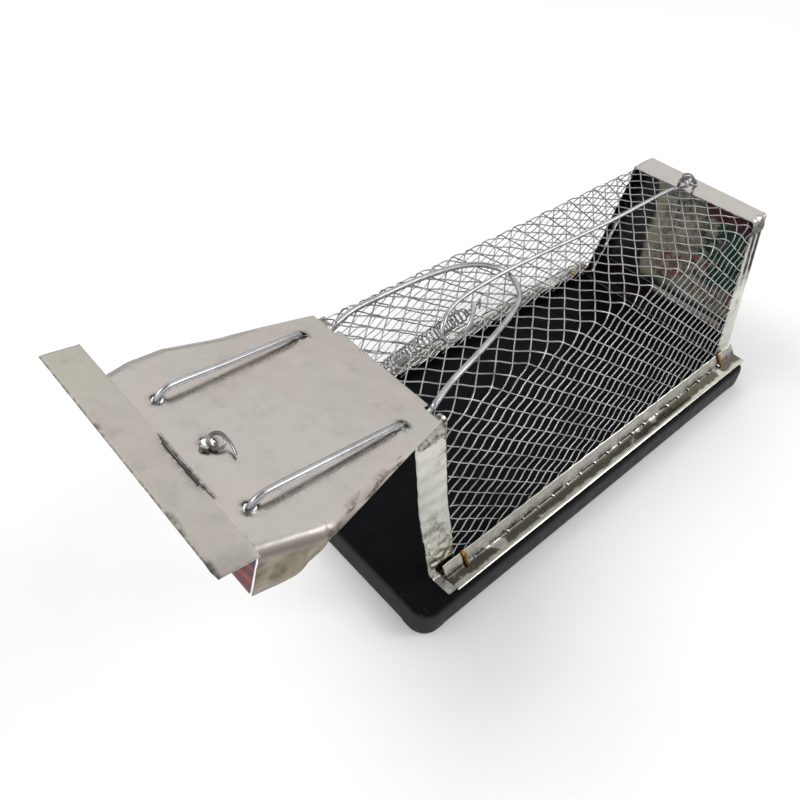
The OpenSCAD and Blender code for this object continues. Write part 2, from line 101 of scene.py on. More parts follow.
def to_row(points):
    p = np.array(points, float)
    p[..., 1] -= MID_Y
    return p * MM


def side_point(y, v, w, side=1):
    """A point of a side's plane: v up the slope from the deck, w outwards."""
    x = FOOT_HW - v * sin(LEAN) + w * cos(LEAN)
    z = BASE_H + v * cos(LEAN) + w * sin(LEAN)
    return (side * x, y, z)


def door_point(x, s, n):
    """A point over the open door: s from its rear edge forwards, n over its top face."""
    y = -s * cos(DOOR_TILT) + n * sin(DOOR_TILT)
    z = DOOR_Z + s * sin(DOOR_TILT) + n * cos(DOOR_TILT)
    return (x, y, z)


def ease(a, b, x):
    t = min(1.0, max(0.0, (x - a) / (b - a)))  # a may be the larger, for a step down
    return t * t * (3 - 2 * t)


def lumps(*place):
    return noise.noise(Vector(place))


def rough(p, size, seed=0.0):
    """Smooth noise from -1 to 1 whose lumps are about size millimetres across."""
    return lumps(p[0] / size + seed, p[1] / size - seed, p[2] / size + 2 * seed)


def crumple(p, size, seed=0.0):
    """Sharp folded noise from 0 to 1, for crushed tin."""
    q = Vector((p[0] / size + seed, p[1] / size + seed, p[2] / size - seed))
    near, far = noise.voronoi(q)[0][:2]
    return min(1.0, far - near)

# ---------------------------------------------------------------- camera
CAMERA_AT = (158.1, -147.0, 302.0)
CAMERA_AZIMUTH = radians(43.957)
CAMERA_ELEVATION = radians(45.320)
CAMERA_ROLL = radians(5.890)
CAMERA_LENS = 33.83


def make_camera():
    a, e, r = CAMERA_AZIMUTH, CAMERA_ELEVATION, CAMERA_ROLL
    back = Vector((sin(a) * cos(e), -cos(a) * cos(e), sin(e)))
    right = Vector((cos(a), sin(a), 0))
    up = back.cross(right)
    rolled_right = cos(r) * right + sin(r) * up
    rolled_up = cos(r) * up - sin(r) * right
    data = bpy.data.cameras.new("camera")
    data.lens = CAMERA_LENS
    data.clip_start = 0.01
    camera = bpy.data.objects.new("camera", data)
    camera.matrix_world = Matrix((rolled_right, rolled_up, back)).transposed().to_4x4()
    camera.location = Vector(to_row(CAMERA_AT))
    bpy.context.scene.collection.objects.link(camera)
    bpy.context.scene.camera = camera


make_camera()

# ---------------------------------------------------------------- meshes


class Shape:
    """Points, faces and two values per point: worn marks and painted shade (0 to 1), and flat (a place on the sheet in
    mm).
    """

    def __init__(self):
        self.points, self.faces, self.wear_and_shade, self.flat = [], [], [], []

    def add(self, points, faces, wear_and_shade=None, flat=None):
        start, count = len(self.points), len(points)
        self.points.extend(tuple(p) for p in points)
        self.faces.extend(tuple(start + i for i in f) for f in faces)
        self.wear_and_shade.extend(wear_and_shade if wear_and_shade is not None else [0.0] * count)
        self.flat.extend(flat if flat is not None else [(0.0, 0.0, 0.0)] * count)
        return self

    def piece(self, name, body, material, slot, replaces=(), sharp=42):
        mesh = bpy.data.meshes.new(name)
        mesh.from_pydata(to_row(self.points).tolist(), [], self.faces)
        wear_and_shade = mesh.attributes.new("wear_and_shade", "FLOAT", "POINT")
        wear_and_shade.data.foreach_set("value", np.array(self.wear_and_shade, np.float32))
        flat = mesh.attributes.new("flat", "FLOAT_VECTOR", "POINT")
        flat.data.foreach_set("vector", np.array(self.flat, np.float32).ravel())
        mesh.validate()
        mesh.materials.append(material)
        mesh.polygons.foreach_set("use_smooth", [True] * len(mesh.polygons))
        mesh.set_sharp_from_angle(angle=radians(sharp))
        obj = bpy.data.objects.new(name, mesh)
        bpy.context.scene.collection.objects.link(obj)
        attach(obj, body)
        if replaces:
            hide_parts(*replaces)
        return obj


def sheet(shape, points, wear_and_shade=None, flat=None, out=1, keep=None, thickness=TIN):
    """Adds a tin sheet: points is its outer face as rows x columns, keep says which cells are there.
    out is -1 where the rows and columns turn the other way round."""
    p = np.array(points, float)
    rows, cols = p.shape[:2]
    across = np.cross(np.gradient(p, axis=0), np.gradient(p, axis=1)) * out
    across /= np.maximum(np.linalg.norm(across, axis=2, keepdims=True), 1e-9)
    keep = np.ones((rows - 1, cols - 1), bool) if keep is None else keep
    wear_and_shade = np.zeros((rows, cols)) if wear_and_shade is None else np.array(wear_and_shade, float)
    flat = np.zeros((rows, cols, 3)) if flat is None else np.array(flat, float)
    under_flat = flat.copy()
    under_flat[..., 2] = 1.0
    solid = np.pad(keep, 1)
    shift = rows * cols
    at = np.arange(shift).reshape(rows, cols).tolist()
    faces = []
    for i, j in np.argwhere(keep).tolist():
        a, b, c, d = at[i][j], at[i + 1][j], at[i + 1][j + 1], at[i][j + 1]
        faces.append([a, b, c, d][::out])
        faces.append([k + shift for k in (a, b, c, d)][::-out])
        for ni, nj, e, f in ((i, j - 1, a, b), (i + 1, j, b, c), (i, j + 1, c, d), (i - 1, j, d, a)):
            if not solid[ni + 1, nj + 1]:
                faces.append([f, e, e + shift, f + shift][::out])
    used = sorted({k for f in faces for k in f})
    index = {k: n for n, k in enumerate(used)}
    return shape.add(
        np.stack([p, p - across * thickness]).reshape(-1, 3)[used].tolist(),
        [[index[k] for k in f] for f in faces],
        np.tile(wear_and_shade.ravel(), 2)[used].tolist(),
        np.stack([flat, under_flat]).reshape(-1, 3)[used].tolist(),
    )


def grid(us, vs, at):
    """The points, wear and flat of a sheet, from at(u, v), which gives all three for one point."""
    cells = [[at(u, v) for v in vs] for u in us]
    return [[[cell[k] for cell in row] for row in cells] for k in range(3)]


def spline(points, steps):
    """A smooth line through the points."""
    p = np.array(points, float)
    out = []
    for i in range(len(p) - 1):
        a, b, c, d = p[max(i - 1, 0)], p[i], p[i + 1], p[min(i + 2, len(p) - 1)]
        for k in range(steps):
            t = k / steps
            out.append(0.5 * (2 * b + (c - a) * t + (2 * a - 5 * b + 4 * c - d) * t**2
                              + (3 * b - a - 3 * c + d) * t**3))
    out.append(p[-1])
    return np.array(out)


def carried_frames(path):
    """Two sideways directions along a path, without twist."""
    t = np.gradient(path, axis=0)
    t /= np.maximum(np.linalg.norm(t, axis=1, keepdims=True), 1e-9)
    side = np.cross(t[0], (0.31, 0.17, 0.93))
    sides = []
    for direction in t:
        side = side - side.dot(direction) * direction
        side /= np.linalg.norm(side)
        sides.append(side)
    sides = np.array(sides)
    return sides, np.cross(t, sides)


def ring_faces(rings, sides, caps=True):
    """The faces between rings of points, with the two ends closed."""
    faces = [[i * sides + k, i * sides + (k + 1) % sides, (i + 1) * sides + (k + 1) % sides, (i + 1) * sides + k]
             for i in range(rings - 1) for k in range(sides)]
    if caps:
        faces += [list(range(sides))[::-1], list(range((rings - 1) * sides, rings * sides))]
    return faces


def tube(shape, path, radius, sides=10, frames=None, caps=True):
    path = np.array(path, float)
    a, b = frames or carried_frames(path)
    r = np.broadcast_to(np.array(radius, float), (len(path),))[:, None, None]
    turn = np.arange(sides) * 2 * pi / sides
    rings = path[:, None] + r * (np.cos(turn)[None, :, None] * a[:, None] + np.sin(turn)[None, :, None] * b[:, None])
    return shape.add(rings.reshape(-1, 3).tolist(), ring_faces(len(path), sides, caps))

# ---------------------------------------------------------------- materials


class Paint:
    """A node material on one Principled shader, with short names for the nodes it uses."""

    def __init__(self, name, metallic=1.0, specular=0.5):
        self.material = bpy.data.materials.new(name)
        self.material.use_nodes = True
        self.tree = self.material.node_tree
        self.shader = self.tree.nodes["Principled BSDF"]
        self.shader.inputs["Metallic"].default_value = metallic
        self.shader.inputs["Specular IOR Level"].default_value = specular
        self.place = self.node("ShaderNodeTexCoord").outputs["Object"]
        self.wear_and_shade = self.node("ShaderNodeAttribute", attribute_name="wear_and_shade").outputs["Fac"]
        self.flat = self.node("ShaderNodeAttribute", attribute_name="flat").outputs["Vector"]

    def node(self, kind, inputs=None, **props):
        n = self.tree.nodes.new(kind)
        for key, value in props.items():
            setattr(n, key, value)
        for key, value in (inputs or {}).items():
            if isinstance(value, bpy.types.NodeSocket):
                self.tree.links.new(value, n.inputs[key])
            else:
                n.inputs[key].default_value = value
        return n

    def noise(self, size, detail=4.0, source=None, stretch=(1, 1, 1), turn=(0, 0, 0), roughness=0.55):
        """Noise whose lumps are about size millimetres."""
        inputs = {"Vector": source or self.place, "Scale": stretch, "Rotation": turn}
        vector = self.node("ShaderNodeMapping", inputs).outputs[0]
        scale = 1 / (size * (MM if source is None else 1.0))
        inputs = {"Vector": vector, "Scale": scale, "Detail": detail, "Roughness": roughness}
        return self.node("ShaderNodeTexNoise", inputs).outputs["Fac"]

    def ramp(self, value, low, high, out_low=0.0, out_high=1.0):
        inputs = {"Value": value, "From Min": low, "From Max": high, "To Min": out_low, "To Max": out_high}
        return self.node("ShaderNodeMapRange", inputs, interpolation_type="SMOOTHSTEP").outputs[0]

    def spread(self, size, detail, low, high, out_low=0.0, out_high=1.0, **how):
        """Noise drawn apart between two of its levels."""
        return self.ramp(self.noise(size, detail, **how), low, high, out_low, out_high)

    def math(self, kind, a, b=0.0):
        return self.node("ShaderNodeMath", {0: a, 1: b}, operation=kind).outputs[0]

    def times(self, a, b):
        return self.math("MULTIPLY", a, b)

    def plus(self, a, b):
        return self.math("ADD", a, b)

    def axes(self, vector):
        return self.node("ShaderNodeSeparateXYZ", {"Vector": vector}).outputs[:]

    def mix(self, factor, a, b):
        a, b = ((*c, 1.0) if isinstance(c, tuple) else c for c in (a, b))
        return self.node("ShaderNodeMix", {0: factor, 6: a, 7: b}, data_type="RGBA").outputs[2]

    def coat(self, factor, other):
        """Lays another colour over the paint's own where factor says."""
        self.colour = self.mix(factor, self.colour, other)

    def finish(self, roughness, height=None, strength=0.3, distance=0.1):
        self.tree.links.new(self.colour, self.shader.inputs["Base Color"])
        self.tree.links.new(roughness, self.shader.inputs["Roughness"])
        if height is not None:
            bump = self.node("ShaderNodeBump", {"Height": height, "Strength": strength, "Distance": distance * MM})
            self.tree.links.new(bump.outputs[0], self.shader.inputs["Normal"])
        return self.material


DARK_WEAR_AND_SHADE = (0.045, 0.04, 0.035)
DARK_REFLECTION_BROWN = (0.075, 0.066, 0.042)
WING_SHADE_BROWNS = (0.11, 0.088, 0.055), (0.27, 0.235, 0.165)
BEND_SHADE_BROWN = (0.13, 0.112, 0.09)
BARE_EDGE = (0.5, 0.48, 0.44)


def tin(name, light, dark, tint, gloss, smudges, dents, crystals=0.0, wing=False, dark_reflection_span=None, grit=0.04):
    """Bare tinplate: drifting tint, smudges, fine scratches, dark worn edges and painted shade. wing paints brownish
    shade on the bend and the wing below the plate; the span argument picks a band across a strip painted with dark
    reflection patches."""
    p = Paint(name)
    cloud = p.spread(11, 6, 0.5, 0.78, roughness=0.7)
    specks = p.spread(1.6, 3, 0.66, 0.74)
    scratch = p.spread(2.2, 2, 0.68, 0.76, stretch=(0.12, 1.0, 1.0), turn=(0, 0, 0.5))
    p.colour = p.mix(p.spread(38, 3, 0.36, 0.66), light, tint)
    p.coat(p.times(cloud, smudges), dark)
    marks = p.math("MAXIMUM", p.times(specks, 0.35 * smudges), p.times(scratch, 0.3 * smudges))
    p.coat(marks, dark)
    rough_value = p.plus(p.spread(9, 5, 0.3, 0.72, *gloss), p.times(cloud, 0.12))
    if wing:
        depth = p.axes(p.flat)[2]
        # Painted shade: a brownish gradient down the wing below the plate stands for the dark reflection it shows
        shade_brown = p.mix(p.spread(7, 4, 0.35, 0.65), *WING_SHADE_BROWNS)
        shade = p.times(p.ramp(depth, -6.0, -0.6, 0.95, 0.0), p.ramp(depth, -19.0, -12.0, 0.55, 1.0))
        p.coat(shade, shade_brown)
        # Painted shade on the bend itself damps the bright highlight along it
        bend = p.times(p.ramp(depth, -1.4, -0.15, 1.0, 0.0), p.ramp(depth, -5.0, -2.2))
        p.coat(p.times(bend, 0.62), BEND_SHADE_BROWN)
        rough_value = p.plus(rough_value, p.times(bend, 0.2))
    # Painted reflection: dark patches across the flange stand for dark surroundings mirrored in it, and reach the bend
    # to damp its highlight
    if dark_reflection_span:
        start, end = dark_reflection_span
        edge = p.plus(p.axes(p.flat)[1], p.times(p.noise(7, 4), 5.0))
        dark_reflection = p.times(p.ramp(edge, start, start + 0.8), p.ramp(edge, end, end + 1.5, 1.0, 0.0))
        dark_reflection = p.times(dark_reflection, p.spread(17, 3, 0.37, 0.42))
        p.coat(p.times(dark_reflection, 0.9), DARK_REFLECTION_BROWN)
    # Dark worn marks, together with painted shade where the values mark crease lines and the slit
    worn = p.times(p.wear_and_shade, p.spread(2.4, 5, 0.3, 0.62, roughness=0.7))
    p.coat(p.math("MAXIMUM", worn, p.ramp(p.wear_and_shade, 0.88, 1.0)), DARK_WEAR_AND_SHADE)
    height = p.plus(p.noise(6, 2), p.times(p.noise(0.8, 3), grit))
    if crystals:
        height = p.plus(height, p.times(p.noise(2.2, 2), crystals))
    return p.finish(rough_value, height, 0.35, dents)


def drawn_wire(name, light, dark, gloss, metallic=1.0, grain=0.05):
    """Drawn wire: long die marks, dull patches and a fine grain."""
    p = Paint(name, metallic)
    p.colour = p.mix(p.spread(13, 4, 0.42, 0.72, roughness=0.6), light, dark)
    p.coat(p.times(p.spread(1.1, 3, 0.6, 0.78), 0.3), dark)
    return p.finish(p.spread(6, 3, 0.3, 0.7, *gloss), p.noise(0.6, 3), 0.3, grain)


def black_plastic():
    """Moulded plastic with painted light by face direction: nearly black on the deck, greyer on the upright faces;
    scuffed.
    """
    p = Paint("black_plastic", metallic=0.0, specular=0.06)
    up = p.axes(p.node("ShaderNodeNewGeometry").outputs["Normal"])[2]
    # Painted light: the colour follows which way a face points, greyer upright and nearly black facing up
    upright = p.ramp(p.math("ABSOLUTE", up), 0.15, 0.8, 1.0, 0.0)
    dust = p.spread(14, 6, 0.5, 0.8, roughness=0.7)
    scuff = p.spread(1.3, 3, 0.66, 0.75, stretch=(0.2, 1, 1))
    p.colour = p.mix(upright, (0.0042, 0.0044, 0.0056), (0.036, 0.036, 0.038))
    p.coat(p.times(dust, 0.25), (0.022, 0.022, 0.024))
    p.coat(p.times(scuff, 0.18), (0.09, 0.09, 0.09))
    p.coat(p.times(p.wear_and_shade, 0.6), (0.06, 0.06, 0.062))
    return p.finish(p.spread(6, 4, 0.3, 0.7, 0.42, 0.62), p.plus(p.noise(0.45, 2), p.noise(9, 2)), 0.25, 0.12)


def printed_wall():
    """The upright wall under the crease: reused printed tin, blue above, with slanting red bands."""
    p = Paint("printed_wall", metallic=0.25, specular=0.5)
    across, down, under = p.axes(p.flat)
    wobble = p.times(p.noise(14, 2, source=p.flat), 5.0)
    slant = p.plus(p.times(down, 0.9), p.plus(p.times(across, 0.22), wobble))
    band = p.math("SINE", p.times(slant, 1.25))
    red = p.mix(p.ramp(band, 0.1, 0.5), (0.085, 0.004, 0.008), (0.25, 0.008, 0.012))
    red = p.mix(p.ramp(band, 0.92, 0.98), red, (0.27, 0.022, 0.024))
    p.colour = p.mix(p.ramp(p.plus(down, wobble), 9.5, 10.6), (0.010, 0.011, 0.06), red)
    grime = p.spread(5, 6, 0.52, 0.75, roughness=0.7)
    p.coat(p.times(grime, 0.5), (0.02, 0.012, 0.012))
    p.coat(p.wear_and_shade, (0.45, 0.42, 0.38))
    p.coat(under, (0.55, 0.52, 0.47))
    return p.finish(p.spread(6, 4, 0.3, 0.7, 0.25, 0.45), p.noise(5, 3), 0.3, 0.3)


def printed_rear():
    """The end wall: reused printed tin in worn blotches of black, beige, green and dark red."""
    p = Paint("printed_rear", metallic=0.25, specular=0.5)
    across, up, under = p.axes(p.flat)
    wobble = p.times(p.math("SUBTRACT", p.noise(16, 4, source=p.flat), 0.5), 16.0)
    x, z = p.plus(across, wobble), p.plus(up, wobble)
    # The black part's edge leans: further across the wall near the deck
    lean = p.plus(x, p.times(p.math("SUBTRACT", z, 90.0), 0.14))
    mottle = p.spread(4, 5, 0.4, 0.66, source=p.flat, roughness=0.7)
    mottled = p.mix(mottle, (0.30, 0.275, 0.21), (0.065, 0.06, 0.05))
    squiggle = p.noise(8, 2, source=p.flat, stretch=(1, 0.6, 1))
    line = p.ramp(p.math("ABSOLUTE", p.math("SUBTRACT", squiggle, 0.5)), 0.012, 0.03, 1.0, 0.0)
    line = p.times(line, p.times(p.ramp(z, 36, 42), p.ramp(z, 58, 62, 1.0, 0.0)))
    p.colour = p.mix(p.times(line, 0.7), mottled, (0.26, 0.035, 0.03))
    p.coat(p.ramp(lean, -22, -16, 0.7, 0.0), (0.30, 0.285, 0.2))
    p.coat(p.ramp(lean, -27, -24, 1.0, 0.0), (0.006, 0.006, 0.007))
    dots = p.node("ShaderNodeTexVoronoi", {"Vector": p.flat, "Scale": 0.42}).outputs["Distance"]
    green = p.mix(p.ramp(dots, 0.16, 0.3), (0.11, 0.15, 0.11), (0.010, 0.045, 0.028))
    streaky = p.spread(9, 3, 0.47, 0.53, source=p.flat, stretch=(1, 1.6, 1))
    patch = p.times(p.ramp(lean, 4, 8), p.ramp(z, 46, 52))
    p.coat(p.times(patch, p.math("MAXIMUM", streaky, p.ramp(x, 22, 26))), green)
    p.coat(p.times(p.ramp(lean, 6, 9), p.ramp(z, 86, 89)), (0.07, 0.012, 0.016))
    p.coat(p.ramp(z, 30, 36, 1.0, 0.0), (0.007, 0.007, 0.008))
    grime = p.spread(9, 6, 0.5, 0.72, roughness=0.75)
    p.coat(p.times(grime, 0.5), (0.012, 0.011, 0.01))
    p.coat(p.wear_and_shade, (0.55, 0.5, 0.46))
    p.colour = p.mix(under, BARE_EDGE, p.colour)
    return p.finish(p.spread(6, 4, 0.3, 0.7, 0.25, 0.5), p.noise(6, 3), 0.3, 0.4)


def printed_strip():
    """The low strip inside the end wall: dark maroon print, worn to bare tin along its top."""
    p = Paint("printed_strip", metallic=0.25, specular=0.4)
    p.colour = p.mix(p.spread(6, 5, 0.35, 0.65, roughness=0.7), (0.014, 0.006, 0.007), (0.006, 0.005, 0.006))
    p.coat(p.times(p.wear_and_shade, 0.9), (0.5, 0.43, 0.38))
    p.colour = p.mix(p.axes(p.flat)[2], BARE_EDGE, p.colour)
    return p.finish(p.spread(6, 4, 0.3, 0.7, 0.3, 0.5), p.noise(6, 3), 0.3, 0.4)


DOOR_TIN = tin("door_tin", (0.532, 0.482, 0.446), (0.26, 0.23, 0.2), (0.518, 0.495, 0.457), (0.2, 0.34), 0.22, 0.3,
               wing=True)
LIP_TIN = tin("lip_tin", (0.50, 0.46, 0.42), (0.24, 0.22, 0.185), (0.485, 0.465, 0.405), (0.25, 0.4), 0.32, 0.3)
POST_TIN = tin("post_tin", (0.64, 0.63, 0.585), (0.2, 0.185, 0.15), (0.58, 0.575, 0.50), (0.14, 0.3), 0.6, 0.8, 0.35)
RAIL_TIN = tin("rail_tin", (0.66, 0.64, 0.58), (0.16, 0.15, 0.115), (0.55, 0.54, 0.47), (0.12, 0.24), 0.4, 0.3,
               dark_reflection_span=(7.6, 12.9), grit=0.02)
FRONT_TIN = tin("front_tin", (0.47, 0.44, 0.405), (0.17, 0.145, 0.11), (0.42, 0.395, 0.34), (0.16, 0.32), 0.55, 0.4)
HEADER_TIN = tin("header_tin", (0.585, 0.535, 0.518), (0.24, 0.22, 0.19), (0.56, 0.532, 0.495), (0.24, 0.38),
                 0.3, 0.15)
MESH_WIRE = drawn_wire("mesh_wire", (0.47, 0.475, 0.48), (0.26, 0.26, 0.27), (0.14, 0.3))
BAIL_STEEL = drawn_wire("bail_steel", (0.45, 0.455, 0.465), (0.30, 0.30, 0.31), (0.2, 0.34))
SPRING_STEEL = drawn_wire("spring_steel", (0.30, 0.30, 0.30), (0.11, 0.105, 0.10), (0.2, 0.36))
TIE_WIRE = drawn_wire("tie_wire", (0.50, 0.27, 0.08), (0.17, 0.075, 0.025), (0.22, 0.45), 0.85, 0.2)
BLACK_PLASTIC = black_plastic()
PRINTED_WALL = printed_wall()
PRINTED_REAR = printed_rear()
PRINTED_STRIP = printed_strip()

# ---------------------------------------------------------------- base


CORNER_POINTS = 11


def rounded_outline(inset, radius=9.0):
    """The base's outline in plan, anticlockwise, with each side's middle left straight."""
    hw, hl, r = BASE_W / 2 - inset, BASE_L / 2 - inset, max(radius - inset, 0.6)
    middle = (BASE_FRONT_Y + BASE_REAR_Y) / 2
    out = []
    for k, (sx, sy) in enumerate(((1, 1), (-1, 1), (-1, -1), (1, -1))):
        for i in range(CORNER_POINTS):
            a = pi / 2 * (k + i / (CORNER_POINTS - 1))
            out.append((sx * (hw - r) + r * cos(a), middle + sy * (hl - r) + r * sin(a)))
    return out


FOOT_RUN = 4.0


def base_tray():
    shape = Shape()
    profile = [(2.2, BASE_H - 2), (2.0, 2.0), (1.8, 1.5), (0.5, 1.4), (0.05, 1.8), (0.0, 2.6), (0.15, 6), (0.35, 10.2),
               (0.6, 11.4), (1.1, 12.4), (1.9, 13.0), (2.9, BASE_H), (3.6, BASE_H)]
    rings = [[(x, y, z) for x, y in rounded_outline(inset)] for inset, z in profile]
    wear_and_shade = [0.5 if z in (11.4, 12.4) else 0.0 for _, z in profile for _ in rings[0]]
    shape.add([p for ring in rings for p in ring], ring_faces(len(rings), len(rings[0])), wear_and_shade)
    # Four feet follow the corners under the skirt, and run on a little along the straight sides
    foot = [(0.3, 2.0), (0.25, 0.5), (0.6, 0.0), (2.4, 0.0), (2.8, 0.4), (2.9, 2.0)]
    for corner in range(4):
        turn = pi / 2 * corner
        first_way = np.array((-sin(turn), cos(turn))) * FOOT_RUN
        last_way = np.array((-cos(turn), -sin(turn))) * FOOT_RUN
        rows = []
        for inset, z in foot:
            line = rounded_outline(inset)[corner * CORNER_POINTS:(corner + 1) * CORNER_POINTS]
            line = [np.array(line[0]) - first_way, *line, np.array(line[-1]) + last_way]
            rows.append([(x, y, z) for x, y in line])
        n, m = len(rows), len(rows[0])
        faces = [[r * m + k, r * m + k + 1, (r + 1) % n * m + k + 1, (r + 1) % n * m + k]
                 for r in range(n) for k in range(m - 1)]
        faces += [[r * m for r in range(n)], [r * m + m - 1 for r in range(n)][::-1]]
        shape.add([p for row in rows for p in row], faces)
    shape.piece("base_tray_moulding", "cage", BLACK_PLASTIC, "black_plastic", ["base_tray"], sharp=35)


base_tray()

# ---------------------------------------------------------------- woven mesh
MESH_BEND_R = 4.2
MESH_TURN = pi / 2 - LEAN
MESH_FLAT = ROOF_HW - MESH_BEND_R * tan(MESH_TURN / 2)
MESH_ARC = MESH_BEND_R * MESH_TURN
MESH_SIDE = SLANT_L - MESH_BEND_R * tan(MESH_TURN / 2)
MESH_WIRE_R = 0.33
MESH_REAR_Y = 231.0
HOOK_WINDOW = (-3.8, 4.4), (33.4, 60.8)
WEAVE = 0.25
MESH_SKEW = 0.1
MESH_WOBBLE = 0.16
MESH_SAG = 0.4
MESH_DEPTH = 0.62
FLARE_V = 13.0
FLARE = 0.9

# Strands step across the sheet: MESH_CROSS from crossing to crossing on the roof, MESH_RISE on the sides
MESH_U = np.array([0, MESH_SIDE, MESH_ARC, 2 * MESH_FLAT, MESH_ARC, MESH_SIDE]).cumsum()
MESH_U -= MESH_SIDE + MESH_ARC + MESH_FLAT
BEND_RISE = (MESH_RISE + MESH_CROSS) / 2
HALF_STEPS = np.array([MESH_RISE, BEND_RISE, MESH_CROSS, BEND_RISE, MESH_RISE]) / 2
MESH_COUNT = np.concatenate([[0], np.cumsum(np.diff(MESH_U) / HALF_STEPS)])
MESH_COUNT -= np.interp(ROOF_CROSSING[0], MESH_U, MESH_COUNT)


def mesh_section(u):
    """Across the bent sheet: place and outward direction at distance u from the roof's middle."""
    a = abs(u)
    if a <= MESH_FLAT:
        x, z, nx, nz = a, CAGE_H, 0.0, 1.0
    elif a <= MESH_FLAT + MESH_ARC:
        turn = (a - MESH_FLAT) / MESH_BEND_R
        nx, nz = sin(turn), cos(turn)
        x, z = MESH_FLAT + MESH_BEND_R * nx, CAGE_H - MESH_BEND_R * (1 - nz)
    else:
        d = a - MESH_FLAT - MESH_ARC
        nx, nz = cos(LEAN), sin(LEAN)
        flare = FLARE * max(0.0, 1 - (MESH_SIDE - d) / FLARE_V) ** 2
        x = MESH_FLAT + MESH_BEND_R * nx + d * sin(LEAN) + flare
        z = CAGE_H - MESH_BEND_R * (1 - nz) - d * cos(LEAN)
    return (x if u >= 0 else -x), z, (nx if u >= 0 else -nx), nz


def mesh_front(u):
    """Where the mesh starts: under the front header, and under the rear edge of each post."""
    down = abs(u) - MESH_FLAT - MESH_ARC
    if down < 0:
        return 1.0
    v = max(0.0, MESH_SIDE - down)
    return 3.0 + 5.5 * (1 - v / SLANT_L)


def mesh_has(u, y):
    """Whether the sheet is there: it ends in the rails and headers, and the roof has a window for the bait hook."""
    if abs(u) > MESH_FLAT + MESH_ARC + MESH_SIDE - 2.5 or not mesh_front(u) < y < MESH_REAR_Y:
        return False
    (u0, u1), (y0, y1) = HOOK_WINDOW
    return not (u0 < u < u1 and y0 < y < y1)


def strand_point(way, i, q):
    """A point of strand i at q half crossings along it, as [x, y, z, u], or None past the sheet's edges."""
    count = way * (2 * i - q)
    if not MESH_COUNT[0] < count < MESH_COUNT[-1]:
        return None
    u = float(np.interp(count, MESH_COUNT, MESH_U))
    # The sheet is a little askew, so its rows drift along the roof
    skew = -MESH_SKEW * max(-MESH_FLAT, min(MESH_FLAT + 14, u) - ROOF_CROSSING[0])
    y = ROOF_CROSSING[1] + q * MESH_LONG / 2 + skew
    wave = cos(pi * q) * (1 if i % 2 else -1)
    lift = way * WEAVE * copysign(abs(wave) ** 0.7, wave)
    u_wob = u + MESH_WOBBLE * lumps(u / 30, y / 30, 3.1)
    y += MESH_WOBBLE * lumps(u / 22, y / 22, 7.7)
    x, z, nx, nz = mesh_section(u_wob)
    depth = lift - MESH_DEPTH + MESH_SAG * lumps(u / 45, y / 45, 9.7)
    return (x + nx * depth, y, z + nz * depth, u)


def woven_mesh():
    shapes = {"roof": Shape(), "near": Shape(), "far": Shape()}
    fold = MESH_FLAT + MESH_ARC / 2
    per_step = 8

    def panel(u):
        return "roof" if abs(u) < fold else "near" if u > 0 else "far"

    for way, i in itertools.product((1, -1), range(-23, 33)):
        strand = [strand_point(way, i, k / per_step) for k in range(-14 * per_step, 33 * per_step + 1)]
        for there, run in itertools.groupby(strand, lambda p: p is not None and mesh_has(p[3], p[1])):
            run = list(run)
            if not there or len(run) < 3:
                continue
            path = np.array([p[:3] for p in run])
            sides, ups = carried_frames(path)
            panels = [panel((a[3] + b[3]) / 2) for a, b in zip(run, run[1:])]
            for part, steps in itertools.groupby(range(len(panels)), panels.__getitem__):
                steps = list(steps)
                cut = slice(steps[0], steps[-1] + 2)
                tube(shapes[part], path[cut], MESH_WIRE_R, 6, (sides[cut], ups[cut]), caps=False)
    for part, node in (("roof", "mesh_roof"), ("near", "mesh_side_near"), ("far", "mesh_side_far")):
        shapes[part].piece(f"mesh_{part}_wires", "cage", MESH_WIRE, "mesh_wire", [node], sharp=80)


woven_mesh()

# ---------------------------------------------------------------- side rails
WIRE_TIP_R = 0.55


def diamonds(y, v):
    """The mesh shows through crimped tin as rows of small diamonds, from -1 to 1."""
    return cos(pi * (y / MESH_LONG + v / MESH_RISE)) * cos(pi * (y / MESH_LONG - v / MESH_RISE))


def rail_profile():
    """Across a rail, from the top of its band down, round the bend and out along the flange, as [x, z]."""
    flange_z = BASE_H + 1.25
    band = [(FOOT_HW + x, BASE_H + z) for x, z in ((-0.25, 6.3), (0.05, 6.1), (0.85, 5.1), (1.7, 4.0), (2.5, 2.95))]
    bend = [(FOOT_HW + 3.2, flange_z + 0.75), (FOOT_HW + 3.7, flange_z + 0.15), (FOOT_HW + 4.3, flange_z - 0.1)]
    dips = ((5.2, 0.12), (6.6, 0.18), (8.2, 0.12), (9.6, 0.0), (10.4, 0.05))
    flange = [(FOOT_HW + x, flange_z - dip) for x, dip in dips]
    edge = [(FOOT_HW + 10.85, flange_z - 0.3), (FOOT_HW + 10.95, BASE_H + 0.05)]
    return band + bend + flange + edge


RAIL_ENDS = (1.0, 243.0)
RAIL_STEPS = 201
RAIL_SCUFFS = {4: 0.6, 5: 1.0, 6: 0.9}


